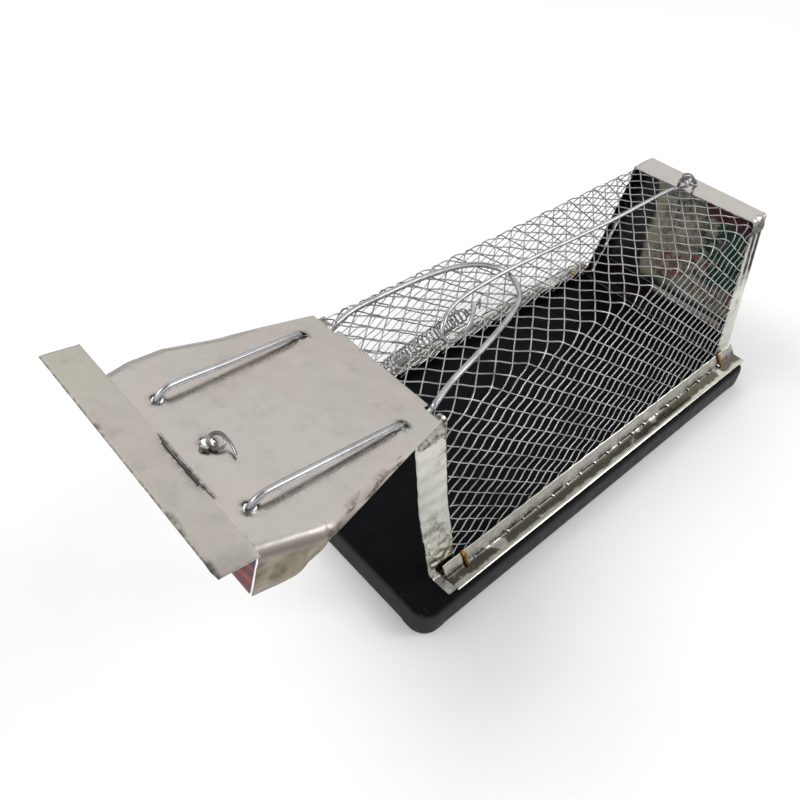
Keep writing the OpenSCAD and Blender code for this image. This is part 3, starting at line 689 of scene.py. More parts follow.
def side_rail(side, name):
    profile = rail_profile()
    length = [0.0]
    for a, b in zip(profile, profile[1:]):
        length.append(length[-1] + hypot(a[0] - b[0], a[1] - b[1]))

    def at(y, k):
        x, z = profile[k]
        place = (side * x, y, z)
        lift = 0.3 * rough(place, 16, 1) + 0.12 * rough(place, 5, 2)
        if k < 4:
            lift += 0.3 * diamonds(y, length[k])
        out = 0.5 * lift if k < 6 else 0.0
        up = 0.45 * lift if 6 <= k < len(profile) - 1 else 0.0
        scuffed = ease(-0.35, 0.05, rough(place, 8, 5)) * RAIL_SCUFFS.get(k, 0.0)
        wear_and_shade = max(scuffed, 0.3 if k == 0 or y in RAIL_ENDS else 0.0)
        return (side * (x + out), y, z + up), wear_and_shade, (y, length[k], 0)

    ys = np.linspace(*RAIL_ENDS, RAIL_STEPS + 1).tolist()
    shape = sheet(Shape(), *grid(ys, range(len(profile)), at), out=-side)
    shape.piece(name, "cage", RAIL_TIN, "rail_tin", [name.replace("_tin", "")])


def rail_wire_tips():
    """The ends of the mesh wires come through the tin along each rail's bend."""
    shape = Shape()
    random.seed(4)
    for side in (1, -1):
        y = 18.0
        while y < 225:
            x, z = FOOT_HW + 3.0, BASE_H + 2.0
            tip = np.array([(side * (x - 0.5), y, z + 0.1), (side * (x + 0.3), y + 0.2, z + 0.3),
                            (side * (x + 1.3), y + 0.5 + 0.6 * random.random(), z - 0.1 - 0.3 * random.random())])
            tube(shape, spline(tip, 3), WIRE_TIP_R, 8)
            y += MESH_LONG + random.uniform(-0.5, 0.5)
    shape.piece("rail_wire_tips", "cage", MESH_WIRE, "mesh_wire")


def rail_ties():
    """Two strands of rusty wire twisted down over the rail at each end."""
    shape = Shape()
    fall = ((-0.1, -0.4, 6.8), (0.9, 0.1, 6.3), (2.2, 0.2, 4.7), (3.6, -0.2, 2.8), (4.9, -0.3, 1.9))
    for side, y in itertools.product((1, -1), (13.0, 227.0)):
        line = spline([(side * (FOOT_HW + x), y + dy, BASE_H + z) for x, dy, z in fall], 10)
        a, b = carried_frames(line)
        for phase in (0, pi):
            wave = np.arange(len(line)) * 0.5 + phase
            tube(shape, line + 0.36 * (np.cos(wave)[:, None] * a + np.sin(wave)[:, None] * b), 0.4, 8)
        loop = [(side * (FOOT_HW + 1.6 + cos(a)), y + 0.3 + 0.8 * sin(a), BASE_H + 5.7 - 1.1 * cos(a))
                for a in np.linspace(0, 5.2, 22)]
        tube(shape, loop, 0.38, 8)
    shape.piece("rail_tie_wires", "cage", TIE_WIRE, "tie_wire", ["rail_ties"], sharp=80)


side_rail(1, "side_rail_near_tin")
side_rail(-1, "side_rail_far_tin")
rail_wire_tips()
rail_ties()

# ---------------------------------------------------------------- arches
POST_W = 15.5
POST_FACE = -0.8
TAB_REACH = 10.6


POST_TOP = SLANT_L - 0.9
WAIST = 47.0


def post_line():
    """The middle of a post's strip from the tab's end on the deck to its top: (x, z, v)."""
    foot_x, foot_z, r = FOOT_HW + POST_FACE, BASE_H + 0.6, 2.0
    line = [(foot_x + d, foot_z, -d) for d in np.linspace(TAB_REACH, 2.2, 9)]
    line += [(foot_x + r - r * sin(a), foot_z + r - r * cos(a), -r + r * a)
             for a in np.linspace(0, pi / 2, 7)[1:-1]]
    for v in np.linspace(2.6, POST_TOP, 110):
        x, _, z = side_point(0, v, POST_FACE)
        line.append((x, z, v))
    return line


def front_span(v):
    """Front and rear edge of the front post at height v up the slope."""
    if v <= 0:
        return -4.3 - 0.05 * v, 8.0 + 0.03 * v
    front = float(np.interp(v, (0, WAIST, POST_TOP), (-5.5, -10.2, -11.3))) + 1 - ease(0, 6, v)
    return front, front + POST_W - 2.2 * (1 - ease(0, 5, v))


def rear_span(v):
    return (230.5, 242.5) if v <= 0 else (229.5 + 0.6 * (1 - ease(0, 5, v)), 243.4)


def arch_post(side, span, name, crushed):
    rear = span is rear_span

    def at(point, f):
        x, z, v = point
        y0, y1 = span(v)
        y = y0 + (y1 - y0) * f + 0.08 * rough((v, 0, side), 9, 5 + f)
        place = (v, y, side * 9)
        low = ease(40, 58, v) if rear else 1 - ease(20, 34, v)
        fold = crumple(place, 5.5, 4)
        push = 0.2 * diamonds(y, v) * (1 - low) + 0.25 * rough(place, 18, 2)
        push += crushed * ((0.12 + 1.2 * low) * (0.5 - fold) + 0.35 * low * (0.5 - crumple(place, 2.6, 8)))
        # Painted shade: the crumple's crease lines in the crushed part are darkened
        painted_crease_shade = low * ease(0.12, 0.02, fold)
        if rear:
            # Deep pleats run down the upper part, with painted shade in dark streaks along them for the darkness they
            # reflect
            push += 0.5 * low * sin(1.35 * y + 0.5 * rough((v, 0, 0), 9, 3))
            painted_crease_shade = low * ease(-0.92, -0.6, sin(1.1 * y + 1.5 * rough((v, 0, 0), 16, 3)))
        push = min(0.3, max(push, -0.35)) * (0.25 if v < -1 else 1.0)
        dx, dz = (cos(LEAN), sin(LEAN)) if v > 0 else (0.3, 1.0)
        stain = ease(20, 27, v) * (1 - ease(34, 46, v)) * ease(0.1, 0.45, rough(place, 7, 9))
        wear_and_shade = max(0.3 if f in (0, 1) else 0.0, painted_crease_shade, 0.6 * stain)
        return (side * (x + dx * push), y, z + dz * (push if v >= 0 else max(push, 0))), wear_and_shade, (y, v, 0)

    shape = sheet(Shape(), *grid(post_line(), np.linspace(0, 1, 23), at), out=-side)
    shape.piece(name, "cage", POST_TIN, "post_tin", [name.replace("_tin", "")], sharp=50)


arch_post(1, front_span, "front_post_near_tin", 0.9)
arch_post(-1, front_span, "front_post_far_tin", 0.8)
arch_post(1, rear_span, "rear_post_near_tin", 0.6)
arch_post(-1, rear_span, "rear_post_far_tin", 0.5)


HEADER_BEND_R = 2.6
HEADER_DROP = 9.0
HEADER_COLUMNS = 16
NOTCH_HW = 2.7


def header_line(lift):
    """Across a header strip, down one flap's end, over the roof and down the other: (x, z, outward x, z)."""
    bend_r, turn = HEADER_BEND_R, pi / 2 - LEAN
    used = bend_r * tan(turn / 2)
    flat_x = ROOF_HW - 0.2 - used
    half = [(x, CAGE_H + lift, 0.0, 1.0) for x in np.linspace(0, flat_x, 44)[:-1]]
    half += [(flat_x + bend_r * sin(a), CAGE_H + lift - bend_r * (1 - cos(a)), sin(a), cos(a))
             for a in np.linspace(0, turn, 9)]
    x0, z0 = half[-1][:2]
    half += [(x0 + d * sin(LEAN), z0 - d * cos(LEAN), cos(LEAN), sin(LEAN))
             for d in np.linspace(0, HEADER_DROP - used, 10)[1:]]
    return [(-x, z, -nx, nz) for x, z, nx, nz in half[:0:-1]] + half


def header(y_of, lift, notches=(), crush_from=24.0, flap_darkening=0.0):
    """y_of(x) gives the strip's front and rear edge at each place across it."""

    def at(point, f):
        x, z, nx, nz = point
        y0, y1 = y_of(x)
        y = y0 + (y1 - y0) * f
        end = ease(crush_from, 37, abs(x))
        fold = crumple((x, y, z), 4.5, 6)
        push = 0.08 * rough((x, y, z), 16, 3) + 1.3 * end * (0.45 - fold)
        push = min(0.05 if end < 0.05 else 0.4, push)
        # The flap past the roof's corner is darkened in mottled patches
        flap = flap_darkening * ease(36.6, 37.6, abs(x))
        # Painted shade darkens the crease lines of the crushed ends
        wear_and_shade = max(end * ease(0.2, 0.05, fold), flap, 0.25 if f in (0, 1) else 0.0)
        return (x + nx * push, y, z + nz * min(push, 0.15)), wear_and_shade, (x, y, 0)

    rows, wear_and_shade, flat = grid(header_line(lift), np.linspace(0, 1, HEADER_COLUMNS + 1), at)
    keep = np.ones((len(rows) - 1, HEADER_COLUMNS), bool)
    for i, (row, following) in enumerate(zip(rows, rows[1:])):
        keep[i] = all(abs((row[0][0] + following[0][0]) / 2 - x) >= NOTCH_HW for x in notches)
    return sheet(Shape(), rows, wear_and_shade, flat, keep=keep)


HEADER_FRONT_Y = -6.8


def front_header_y(x):
    end = ease(33, 37, abs(x))
    return HEADER_FRONT_Y - 3.0 * end, 3.0 + 1.1 * end


def rear_header_y(x):
    """The rear strip lies a little askew: its front edge runs back towards the near side."""
    skew = 2.2 * (x / ROOF_HW)
    end = ease(34, 38, abs(x))
    return (226.4 + skew) * (1 - end) + 229.3 * end, 243.2


def rear_header():
    shape = header(rear_header_y, 0.5, crush_from=34.0, flap_darkening=0.97)

    def at(x, point):
        y, dz, wear_and_shade = point
        z = CAGE_H + dz
        return (x, y - 0.12 + 0.12 * rough((x, y, z), 9, 4), z), wear_and_shade, (x, z, 0)

    # Its rear edge is folded down over the end wall
    fold = ((243.1, 0.45, 0.1), (243.3, 0.1, 0.3), (243.3, -2, 0), (243.3, -4.5, 0), (243.3, -6.8, 0.5))
    sheet(shape, *grid(np.linspace(-35.4, 35.4, 60), fold, at))
    shape.piece("rear_header_tin", "cage", HEADER_TIN, "door_tin", ["rear_header"], sharp=50)


AXIS_Y, AXIS_Z = -9.0, CAGE_H - 1.7
TONGUE_R = 1.7
LEG_FAR_X, LEG_NEAR_X = -28.0, 31.0


def front_header():
    shape = header(front_header_y, 0.0, (LEG_FAR_X, LEG_NEAR_X))
    # Its front edge turns down, and runs on below the notches for the bail's legs
    full = ((-35.4, -30.8), (-25.2, -10.0), (10.0, 28.2), (33.8, 35.4))
    webs = [(x0, x1, 0.3, 8, max(3, int(x1 - x0))) for x0, x1 in full]
    webs += [(x0, x1, 3.4, 5, 6) for x0, x1 in ((-30.8, -25.2), (28.2, 33.8))]
    for x0, x1, top, steps, count in webs:
        rows = [[(x, HEADER_FRONT_Y + 0.1 * rough((x, z, 0), 8, 3), z)
                 for z in np.linspace(CAGE_H - top, CAGE_H - 7, steps)]
                for x in np.linspace(x0, x1, count)]
        sheet(shape, rows, out=-1)
    # Two tongues of it curl round the hinge rod
    curl = [(-6.6, CAGE_H), (-8.0, CAGE_H)]
    curl += [(AXIS_Y + TONGUE_R * sin(a), AXIS_Z + TONGUE_R * cos(a)) for a in np.linspace(-0.2, -5.2, 20)]
    for x0, x1 in ((-14.8, -3.2), (5.4, 17.0)):
        sheet(shape, [[(x, y, z) for y, z in curl] for x in np.linspace(x0, x1, 12)], out=-1)
    shape.piece("front_header_tin", "cage", FRONT_TIN, "door_tin", ["front_header"], sharp=50)


front_header()
rear_header()


WALL_Y = 241.1


def end_wall():
    def wall(z, f):
        hw = side_point(0, (z - BASE_H) / cos(LEAN), POST_FACE - 0.85)[0]
        x = hw * f
        bulge = 0.35 * rough((x, 0, z), 22, 2) * (abs(x) < hw - 3)
        return (x, WALL_Y + bulge, z), 0.0, (x, z, 0)

    shape = sheet(Shape(), *grid(np.linspace(BASE_H, CAGE_H - 0.2, 50), np.linspace(-1, 1, 50), wall))
    shape.piece("rear_wall_tin", "cage", PRINTED_REAR, "printed_tin", ["rear_wall"])

    foot_hw = side_point(0, 0, POST_FACE - 1.1)[0]

    def strip(point, f):
        y, up = point
        x, z = f * (foot_hw - max(0, up - 1) * tan(LEAN)), BASE_H + up
        return (x, y + 0.25 * rough((x, y, z), 14, 5), z), 1.0 if up > 15 and -7 < x < 42 else 0.0, (x, up + 14, 0)

    profile = [(233.8, 0.6), (236.5, 0.6), (239.4, 0.65), (240.2, 1.2), (240.4, 3), (240.35, 7), (240.3, 12),
               (240.2, 16.2), (240.1, 17)]
    shape = sheet(Shape(), *grid(profile, np.linspace(-1, 1, 60), strip))
    shape.piece("rear_foot_strip_tin", "cage", PRINTED_STRIP, "printed_tin", ["rear_foot_strip"])


end_wall()

# ---------------------------------------------------------------- door
HOLES = {"far_rear": (-27.7, 14.3), "far_front": (-16.4, 83.0), "near_rear": (33.2, 15.2), "near_front": (39.1, 84.0)}
HOLE_R = 2.1
EYELET = (10.3, 77.8)
EYELET_HOLE = (EYELET[0] - 1.0, EYELET[1] + 1.8)
EYELET_HOLE_R = 2.3
NEAR_BEND_R = 5.5
NEAR_DROOP_R = 9.0
FAR_BEND_R = 8.0
FAR_BEND_END = radians(78)
WING_DEPTH = 19.4


def between(table, s):
    return float(np.interp(s, [row[0] for row in table], [row[1] for row in table]))


def near_profile(s):
    """Half a section of the door on the near side: where its bend starts, the bend's turn, and the length after it."""
    edge = between([(0, 38.5), (66, 58.6), (70, 59.0), (PLATE_L, 55.1)], s)
    depth = between([(22, 0.15), (68, 3.0), (72.2, 12.3), (78, 15.9), (83.4, 17.9), (PLATE_L, WING_DEPTH)], s)
    r = NEAR_BEND_R + NEAR_DROOP_R * (1 - ease(35, 73, s))
    turn = acos(max(0.0, 1 - depth / r))
    return edge - r * sin(turn), r, turn, max(0.0, depth - r)


def far_profile(s):
    """The far side rolls down in a broad soft bend."""
    edge = between([(0, 38.5), (31, 39.6), (50, 41.2), (66, 42.9), (80, 40.6), (PLATE_L, 36.4)], s)
    turn = FAR_BEND_END * ease(18, 62, s)
    seen = min(turn, radians(55))
    start = edge - FAR_BEND_R * sin(seen) + 0.69 * FAR_BEND_R * (1 - cos(seen))
    return start, FAR_BEND_R, turn, 1.6 * ease(40, 70, s)


def along_section(profile, share, flat_share):
    """Place on a section: (x, depth). The first flat_share of the shares covers the flat part."""
    start, r, turn, rest = profile
    if share <= flat_share:
        t = start * share / flat_share
    else:
        t = start + (r * turn + rest) * (share - flat_share) / (1 - flat_share)
    if t <= start:
        return t, 0.0
    if t <= start + r * turn:
        a = (t - start) / r
        return start + r * sin(a), r * (1 - cos(a))
    d = t - start - r * turn
    return start + r * sin(turn) + d * cos(turn), r * (1 - cos(turn)) + d * sin(turn)


def pierce(points, keep, centre, radius, seed):
    """Cuts a torn hole in a grid of (x, s, n) and lifts a ragged burr round it."""
    d = np.hypot(points[..., 0] - centre[0], points[..., 1] - centre[1])
    inside = d < radius
    keep &= ~(inside[:-1, :-1] | inside[1:, :-1] | inside[:-1, 1:] | inside[1:, 1:])
    beside, rim = np.zeros(d.shape, bool), np.zeros(d.shape, bool)
    for di, dj in itertools.product((0, 1), repeat=2):
        window = np.s_[di:d.shape[0] - 1 + di, dj:d.shape[1] - 1 + dj]
        beside[window] |= keep
        rim[window] |= ~keep
    for i, j in np.argwhere(rim & beside & (d < radius + 2.2)):
        a = atan2(points[i, j, 1] - centre[1], points[i, j, 0] - centre[0])
        way = np.array((cos(a), sin(a)))
        r = radius * (1.08 + 0.2 * lumps(*(way * 1.7), seed))
        points[i, j, :2] = centre + r * way
        points[i, j, 2] += 0.25 + 0.55 * abs(lumps(*(way * 2.6), seed + 5))
    near = np.clip(1 - (d - radius) / 3.0, 0, 1)
    points[..., 2] += 0.22 * near * near
    return near


def door_plate():
    rows_n, near_n, far_n = int(PLATE_L / 0.75), 100, 64

    def section(s):
        near, far = near_profile(s), far_profile(s)
        left = [along_section(far, 1 - j / far_n, 0.75) for j in range(far_n + 1)]
        right = [along_section(near, (j + 1) / near_n, 0.7) for j in range(near_n)]
        return [(-x, s, -depth) for x, depth in left] + [(x, s, -depth) for x, depth in right]

    net = np.array([section((PLATE_L - 0.35) * i / rows_n) for i in range(rows_n + 1)])
    keep = np.ones((rows_n, near_n + far_n), bool)
    wear_and_shade = np.zeros(net.shape[:2])
    for i, j in np.ndindex(*wear_and_shade.shape):
        x, s, n = place = net[i, j].copy()
        lift = 0.16 * rough(place, 34, 2) + 0.05 * rough(place, 11, 6)
        net[i, j, 2] += min(0.12, lift) * ease(-6, -1, n)
        if n < -1.5:
            sink = 0.3 + 0.5 * (rough(place, 9, 3) + 1)
            net[i, j, 0] -= copysign(0.8 * sink * min(1, (-n - 1.5) / 6), x)
        if x > 0:
            # The near wing is pinched where its lower edge is torn
            net[i, j, 0] -= exp(-((s - 72.5) / 2.2) ** 2) * ease(4, 12, -n)
    holes = [(centre, HOLE_R) for centre in HOLES.values()] + [(EYELET_HOLE, EYELET_HOLE_R)]
    for k, (centre, radius) in enumerate(holes):
        torn = 0.8 * pierce(net, keep, centre, radius, 3.0 + k) ** 2
        dx, ds = net[..., 0] - centre[0], net[..., 1] - centre[1]
        blackened = (np.hypot(dx, ds) < 1.35 * radius) & (np.sin(2 * np.arctan2(ds, dx) + k) > -0.4)
        wear_and_shade = np.maximum(wear_and_shade, np.where(blackened, 1.0, torn))
    wear_and_shade[:, -1] = np.maximum(wear_and_shade[:, -1], 0.6)
    wear_and_shade[:, 0] = 0.6
    # Painted shade: the slit's gap along the plate's front edge over the middle of the crease is darkened
    in_slit = (net[-1, :, 0] > -2) & (net[-1, :, 0] < 31) & (net[-1, :, 2] > -1)
    wear_and_shade[-1, in_slit] = 1.0
    wear_and_shade[-2, in_slit] = 0.5
    # Scratches run along the near bend
    for i, j in np.ndindex(len(net), near_n + 1):
        s, n = net[i, far_n + j, 1:]
        if 26 < s < 69 and -3.5 < n < 1:
            across = j / near_n
            streak = ease(0.05, 0.3, rough((s * 0.35, across * 24, 0), 3, 7))
            wear_and_shade[i, far_n + j] = max(wear_and_shade[i, far_n + j], 0.9 * ease(0.72, 0.97, across) * streak)
    shape = sheet(Shape(), [[door_point(*p) for p in row] for row in net], wear_and_shade, net, keep=keep)
    shape.piece("door_plate_tin", "door", DOOR_TIN, "door_tin", ["door_plate"], sharp=50)


door_plate()


def eyelet_burr():
    """A bright tongue of tin torn out of the eyelet's hole and bent over in front of it."""
    x, s = EYELET_HOLE

    def at(i, t):
        f = i / 8
        half = 2.1 * sqrt(max(0.05, 1 - f ** 2.5)) + 0.15 * lumps(4 * f, 1, 2)
        middle = np.array([x + 1.2 + 1.6 * f, s + 1.5 + 1.9 * f, 0.35 + 1.1 * sin(2.4 * f)])
        edge = abs(t) == 1 or i == 8
        return door_point(*(middle + t * half * np.array([0.75, -0.62, 0.12 * t]))), 1.0 if edge else 0.0, (0, 0, 0)

    shape = sheet(Shape(), *grid(range(9), np.linspace(-1, 1, 9), at), thickness=0.3)
    shape.piece("eyelet_burr", "door", POST_TIN, "door_tin")


eyelet_burr()


def door_lip():
    """The strip in front of the crease, then the wall that hangs under the crease."""

    def strip(f, x):
        # A slit opens between plate and lip over the middle of the crease, and its gap is painted dark as shade
        slit = ease(-3, 4, x) * (1 - ease(22, 31, x)) * (1 - f) ** 8
        d = LIP_L * f + 0.6 * slit - 0.25 * f * max(0, x - 52)
        dents = 0.1 * rough((x, d, 0), 26, 8) + 0.04 * rough((x, d, 0), 7, 8)
        n = -sin(LIP_BEND) * d * (1 - exp(-d / 1.5)) + dents
        n = min(n, 0.0) - 0.05 * exp(-(d / 0.7) ** 2)
        n -= 0.3 * ease(LIP_L - 1.2, LIP_L, d) + ease(45, 56, x) ** 2
        edge = 0.85 * ease(LIP_L - 2.6, LIP_L - 0.2, d) * ease(0.1, 0.45, rough((x, 3 * d, 0), 9, 4))
        ends = 0.5 * ease(54.0, 55.0, abs(x))
        wear_and_shade = 1.0 if f == 1 or slit > 0.5 else max(edge, ends, 0.85 * slit)
        return door_point(x, PLATE_L - 0.33 + d * cos(LIP_BEND), n), wear_and_shade, (x, d, 0)

    def wall(depth, x):
        s = PLATE_L + 0.1 + 0.3 * (rough((x, depth, 0), 18, 6) - 0.3)
        return door_point(x, s, -depth), 1.0 if depth == depths[-1] else 0.0, (x, depth, 0)

    shape = sheet(Shape(), *grid([i / 18 for i in range(19)], np.linspace(-55, 55, 121), strip))
    shape.piece("door_lip_tin", "door", LIP_TIN, "door_tin", ["door_lip"], sharp=50)
    depths = np.linspace(0.75, WING_DEPTH - 0.15, 27)
    shape = sheet(Shape(), *grid(depths, np.linspace(-35.6, 53.4, 101), wall))
    shape.piece("door_front_wall", "door", PRINTED_WALL, "printed_tin", ["door_lip"], sharp=50)


door_lip()

for plain in ("hinge_rod", "door_hinge_strap"):
    mesh = frame["nodes"][plain].data
    mesh.materials.clear()
    mesh.materials.append(BAIL_STEEL if plain == "hinge_rod" else HEADER_TIN)

# ---------------------------------------------------------------- bail, spring and trigger wires
BAIL_R = 1.3
BAIL_Z = CAGE_H + 1.55


def bail_wire():
    (ffx, ffs), (frx, frs) = HOLES["far_front"], HOLES["far_rear"]
    (nfx, nfs), (nrx, nrs) = HOLES["near_front"], HOLES["near_rear"]
    far_arm = [
        (ffx + 0.4, ffs - 3.5, -5), (ffx, ffs, -2.6), (ffx, ffs, 0.3), (ffx - 0.6, ffs - 2.6, 2.9),
        (ffx - 1.5, ffs - 8, 3.8), (ffx - 4.2, ffs - 26, 3.3), (frx + 2, frs + 12, 2.4), (frx + 0.3, frs + 2.6, 1.3),
        (frx, frs, -0.9), (LEG_FAR_X, frs - 3.5, -2.1), (LEG_FAR_X, 4, -2.2), (LEG_FAR_X, 0.5, -2.4),
    ]
    near_arm = [
        (LEG_NEAR_X, 0.5, -2.4), (LEG_NEAR_X + 0.4, 4, -2.2), (LEG_NEAR_X + 1.6, nrs - 3.5, -2.1), (nrx, nrs, -0.9),
        (nrx, nrs + 2.6, 1.3), (nrx + 1, nrs + 12, 2.4), (nfx - 2.2, nfs - 26, 3.3), (nfx - 0.6, nfs - 8, 3.8),
        (nfx - 0.2, nfs - 2.6, 2.9), (nfx, nfs, 0.3), (nfx, nfs, -2.6), (nfx, nfs - 3.5, -5),
    ]
    over_roof = [
        (LEG_FAR_X - 0.6, 6), (-30.6, 16), (-30.6, 34), (-29.9, 52), (-27.4, 69), (-23.8, 79.2), (-18.6, 85.2),
        (-11, 88), (-1.6, 85.4), (6.4, 79), (11.4, 69.5), (16.4, 54), (21.2, 36.5), (25.8, 18), (LEG_NEAR_X - 1, 6),
    ]
    points = [door_point(*p) for p in far_arm]
    points += [(LEG_FAR_X, 1.9, CAGE_H - 0.2), (LEG_FAR_X, 3.4, CAGE_H + 1.3)]
    points += [(x, y, BAIL_Z) for x, y in over_roof]
    points += [(LEG_NEAR_X, 3.4, CAGE_H + 1.3), (LEG_NEAR_X, 1.9, CAGE_H - 0.2)]
    points += [door_point(*p) for p in near_arm]
    path = spline(points, 9)
    at = [k / 9 for k in range(len(path))]
    wobble = [[0.06 * rough((k, 0, 0), 2.2, 3), 0.06 * rough((k, 5, 0), 2.2, 4), 0] for k in at]
    radius = [BAIL_R * (0.99 + 0.01 * rough((k, 2, 2), 1.6, 1)) for k in at]
    shape = tube(Shape(), path + np.array(wobble), radius, 16)
    shape.piece("bail_wire_bent", "door", BAIL_STEEL, "bail_steel", ["bail_wire"], sharp=70)


bail_wire()

SPRING_R = 3.2
SPRING_WIRE_R = 0.38
SPRING_PITCH = 2.2
SPRING_LINE = [
    (-6.0, 60, CAGE_H - 5.2), (-4.6, 40, CAGE_H - 5.6), (-2.4, 16, CAGE_H - 6.4), (0.4, -4, CAGE_H - 7.5),
    (1.6, -14, CAGE_H - 6.4), (3.4, -28, CAGE_H - 2.2), door_point(6.4, 46, -5.4), door_point(9.4, 70, -5),
]


def door_spring():
    """A close-wound coil that bends between the cage and the door."""
    line = spline(SPRING_LINE, 60)
    length = np.concatenate([[0], np.cumsum(np.linalg.norm(np.diff(line, axis=0), axis=1))])
    turns = int(length[-1] / SPRING_PITCH)
    per_turn = 18
    at = np.linspace(0, length[-1], turns * per_turn)
    # Some turns stand closer together than others
    at += 0.6 * SPRING_PITCH * np.sin(at / 4.6) * np.minimum(1, np.minimum(at, length[-1] - at) / 8)
    middle = np.stack([np.interp(at, length, line[:, k]) for k in range(3)], axis=1)
    a, b = carried_frames(middle)
    turn = np.arange(len(at)) * 2 * pi / per_turn
    taper = np.clip(np.minimum(at, length[-1] - at) / 3.0, 0, 1)
    r = (SPRING_R - SPRING_WIRE_R) * (0.35 + 0.65 * taper)
    coil = middle + r[:, None] * (np.cos(turn)[:, None] * a + np.sin(turn)[:, None] * b)
    shape = tube(Shape(), coil, SPRING_WIRE_R, 6)
    spring = shape.piece("door_spring_coil", "cage", SPRING_STEEL, "spring_steel", ["door_spring"], sharp=80)
    spring.parent = None
    del spring["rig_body"]
    start, end = (Vector(to_row(p)) for p in ((0.0, 2.0, CAGE_H - 7), (3.0, -24.0, CAGE_H - 4)))
    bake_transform(spring)


door_spring()

STRAND = (ROOF_CROSSING[0] + MESH_CROSS / 4, ROOF_CROSSING[1] + MESH_LONG / 4)
HOOK_R = 0.45


def spring_hooks():
    start = np.array(SPRING_LINE[0])
    across = np.array([MESH_LONG, -MESH_CROSS, 0]) / hypot(MESH_LONG, MESH_CROSS)
    top = np.array([STRAND[0], STRAND[1], CAGE_H + 0.9])
    line = [start + (0, 0.1, 0), start + (0.2, 2.2, 0.2)]
    over_strand = ((-2, -3.4), (-1.5, -0.8), (0, 0), (1.5, -0.8), (1.8, -3.4))
    line += [top + share * across + (0, 0, dz) for share, dz in over_strand]
    shape = tube(Shape(), spline(line, 8), HOOK_R, 10)
    shape.piece("spring_roof_end", "cage", SPRING_STEEL, "spring_steel", ["spring_roof_hook"], sharp=80)

    # The curl leans back on the plate, and its end springs off past the hole
    x, s = EYELET
    centre = np.array([x + 1.4, s + 0.4, 2.2])
    right = np.array([0.593, -0.805, 0])
    lean = radians(30)
    back = np.array([-0.805 * cos(lean), -0.593 * cos(lean), sin(lean)])
    stem = [(9.4, 70.1, -5), (9.8, 73.5, -4.6), (x, s - 0.6, -2.4), (x, s - 0.2, -0.6), (x + 0.6, s + 0.2, 0.3)]
    curl = [centre + r * (cos(a) * right + sin(a) * back)
            for a, r in zip(np.radians(np.linspace(644, 34, 40)), np.linspace(2.3, 3.1, 40))]
    tail = [centre + (2.0, -3.4, 0.2), centre + (4.4, -3.3, -0.6), centre + (7.0, -2.8, -1.2)]
    points = [door_point(*p) for p in [*stem, *curl, *tail]]
    shape = tube(Shape(), spline(points, 3), HOOK_R + 0.05, 10)
    shape.piece("spring_door_end", "door", SPRING_STEEL, "spring_steel", ["spring_door_hook"], sharp=80)


spring_hooks()

PIVOT = (-3.6, 227.4, CAGE_H + 4.3)
EYE_R = 2.4
ROD_R = 1.0


def trigger_rod():
    px, py, pz = PIVOT
    path = [(px - 1.1 + 2.2 * (90 - a) / 290, py + EYE_R * cos(radians(a)), pz - EYE_R * sin(radians(a)))
            for a in np.linspace(-200, 90, 21)]
    path += [(px - 1.1, 223.4, pz - 1.9), (px - 1.2, 217, pz - 0.4), (px - 1.5, 206, pz + 0.7)]
    path += [(x, y, CAGE_H + z) for x, y, z in (
        (-5.6, 160, 4.4), (-7.6, 110, 4.4), (-8.3, 86, 4.3), (-7.6, 66, 4.2), (-6.6, 55, 4), (-4.5, 46, 3.4),
        (-1.2, 39.6, 1.8), (1.2, 36.6, -1.2), (2.4, 38.6, -5), (2.6, 43.5, -7.5), (2, 49.5, -7.4), (1, 54.5, -4.2),
        (-1.2, 58, -0.2), (-3.2, 59.6, 2))]
    shape = tube(Shape(), spline(path, 7), ROD_R, 14)
    shape.piece("trigger_rod_bent", "trigger", BAIL_STEEL, "bail_steel", ["trigger_rod"], sharp=70)


def trigger_staple():
    """Thin dark wire taken twice round under the rod's eye, with its ends twisted together inside the cage."""
    px, py, pz = PIVOT
    shape = Shape()
    right, back = np.array([0.72, 0.694, 0.0]), np.array([-0.36, 0.375, 0.51])

    def around(a):
        return cos(radians(a)) * right + sin(radians(a)) * back

    def wire(points, steps, radius):
        tube(shape, spline([(px + x, py + y, pz + z) for x, y, z in points], steps), radius, 10)

    for r, shift in ((4.1, -0.7), (4.8, 0.1)):
        ring = [r * around(a) + (0, 0, shift) for a in range(185, -46, -15)]
        wire([(-4.0, -1.2 - shift, -7.3), (-4.1, -1.9 - shift, -2.9), *ring,
              (4.2, -0.4 - shift, -3.1), (4.0, -1.2 - shift, -7.3)], 4, 0.55)
    wire([(-3.8, -2.9, 0.5), (-2.6, -0.4, 0), (0, 0, -0.1), (2.6, 0.6, 0), (3.6, 3.2, 0)], 5, 0.6)
    end = ((50, 4.9, 0.3), (66, 5.1, 0.6), (84, 5.4, 0.9), (104, 5.8, 1.0), (122, 5.9, 0.8), (128, 5.4, 0.4),
           (114, 4.8, 0.2))
    wire([r * around(a) + (0, 0.5 * rise, rise + 0.1) for a, r, rise in end], 5, 0.5)
    for phase in (0, pi):
        tail = [(px + 4.0 * cos(phase) * (1 - t) ** 2 + 0.55 * cos(9 * t + phase) * min(1, 3 * t),
                 py + 0.55 * sin(9 * t + phase), CAGE_H - 3 - 12.0 * t) for t in np.linspace(0, 1, 40)]
        tube(shape, tail, 0.5, 8)
    shape.piece("trigger_staple_wire", "cage", SPRING_STEEL, "spring_steel", ["trigger_staple"], sharp=80)


trigger_rod()
trigger_staple()

# ---------------------------------------------------------------- floor and light


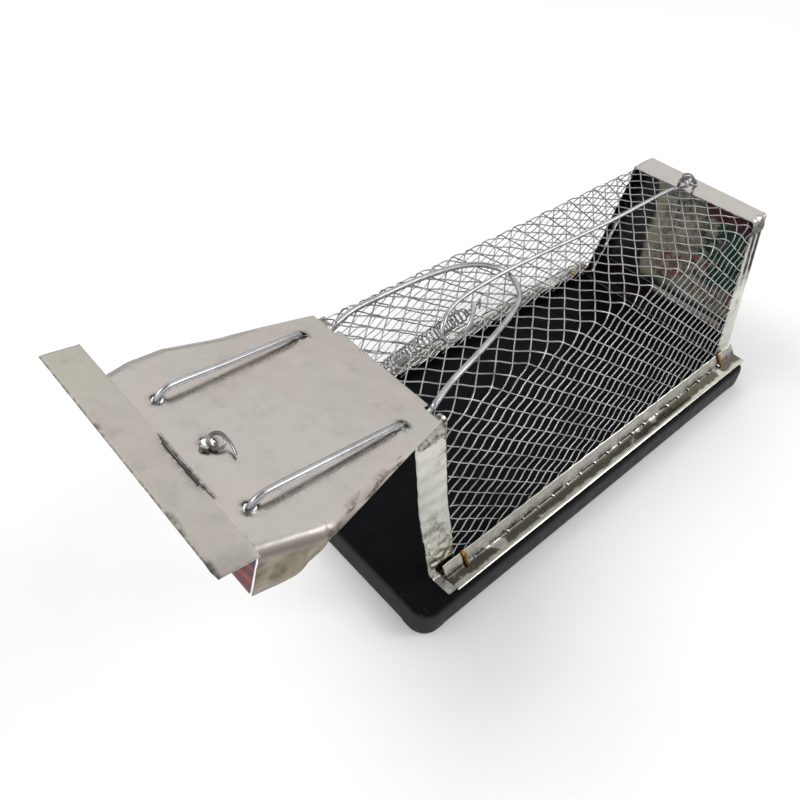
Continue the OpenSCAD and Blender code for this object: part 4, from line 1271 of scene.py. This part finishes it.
def floor():
    mesh = bpy.data.meshes.new("floor")
    r = 4.0
    mesh.from_pydata([(-r, -r, 0), (r, -r, 0), (r, r, 0), (-r, r, 0)], [], [(0, 1, 2, 3)])
    paint = Paint("floor", metallic=0.0, specular=0.2)
    paint.colour = paint.mix(paint.noise(60, 2), (0.93, 0.93, 0.93), (0.9, 0.9, 0.9))
    mesh.materials.append(paint.finish(paint.spread(30, 2, 0.3, 0.7, 0.7, 0.8)))
    obj = bpy.data.objects.new("floor", mesh)
    bpy.context.scene.collection.objects.link(obj)


def soft_light(name, place, size, power, target=(0, 0, 0.05)):
    data = bpy.data.lights.new(name, "AREA")
    data.shape = "RECTANGLE"
    data.size, data.size_y = size
    data.energy = power
    obj = bpy.data.objects.new(name, data)
    obj.location = place
    obj.rotation_euler = (Vector(target) - Vector(place)).to_track_quat("-Z", "Y").to_euler()
    bpy.context.scene.collection.objects.link(obj)


def studio():
    world = bpy.data.worlds.new("studio")
    bpy.context.scene.world = world
    world.use_nodes = True
    tree = world.node_tree
    background = tree.nodes["Background"]
    place = tree.nodes.new("ShaderNodeTexCoord")
    split = tree.nodes.new("ShaderNodeSeparateXYZ")
    ramp = tree.nodes.new("ShaderNodeValToRGB")
    tree.links.new(place.outputs["Generated"], split.inputs[0])
    tree.links.new(split.outputs["Z"], ramp.inputs["Fac"])
    tree.links.new(ramp.outputs["Color"], background.inputs["Color"])
    stops = ramp.color_ramp.elements
    stops[0].position, stops[0].color = 0.0, (0.4, 0.4, 0.41, 1)
    stops[1].position, stops[1].color = 1.0, (0.35, 0.35, 0.36, 1)
    for position, value in ((0.2, 0.55), (0.42, 0.92), (0.74, 1.0), (0.84, 0.9), (0.9, 0.22), (0.96, 0.16)):
        stop = stops.new(position)
        stop.color = (value, value, value, 1)
    background.inputs["Strength"].default_value = 1.08
    soft_light("key", (-0.9, -0.9, 1.5), (0.9, 0.9), 14)
    soft_light("rim", (0.9, 1.2, 1.2), (0.5, 1.2), 8)
    bpy.context.scene.view_settings.view_transform = "Standard"


floor()
studio()
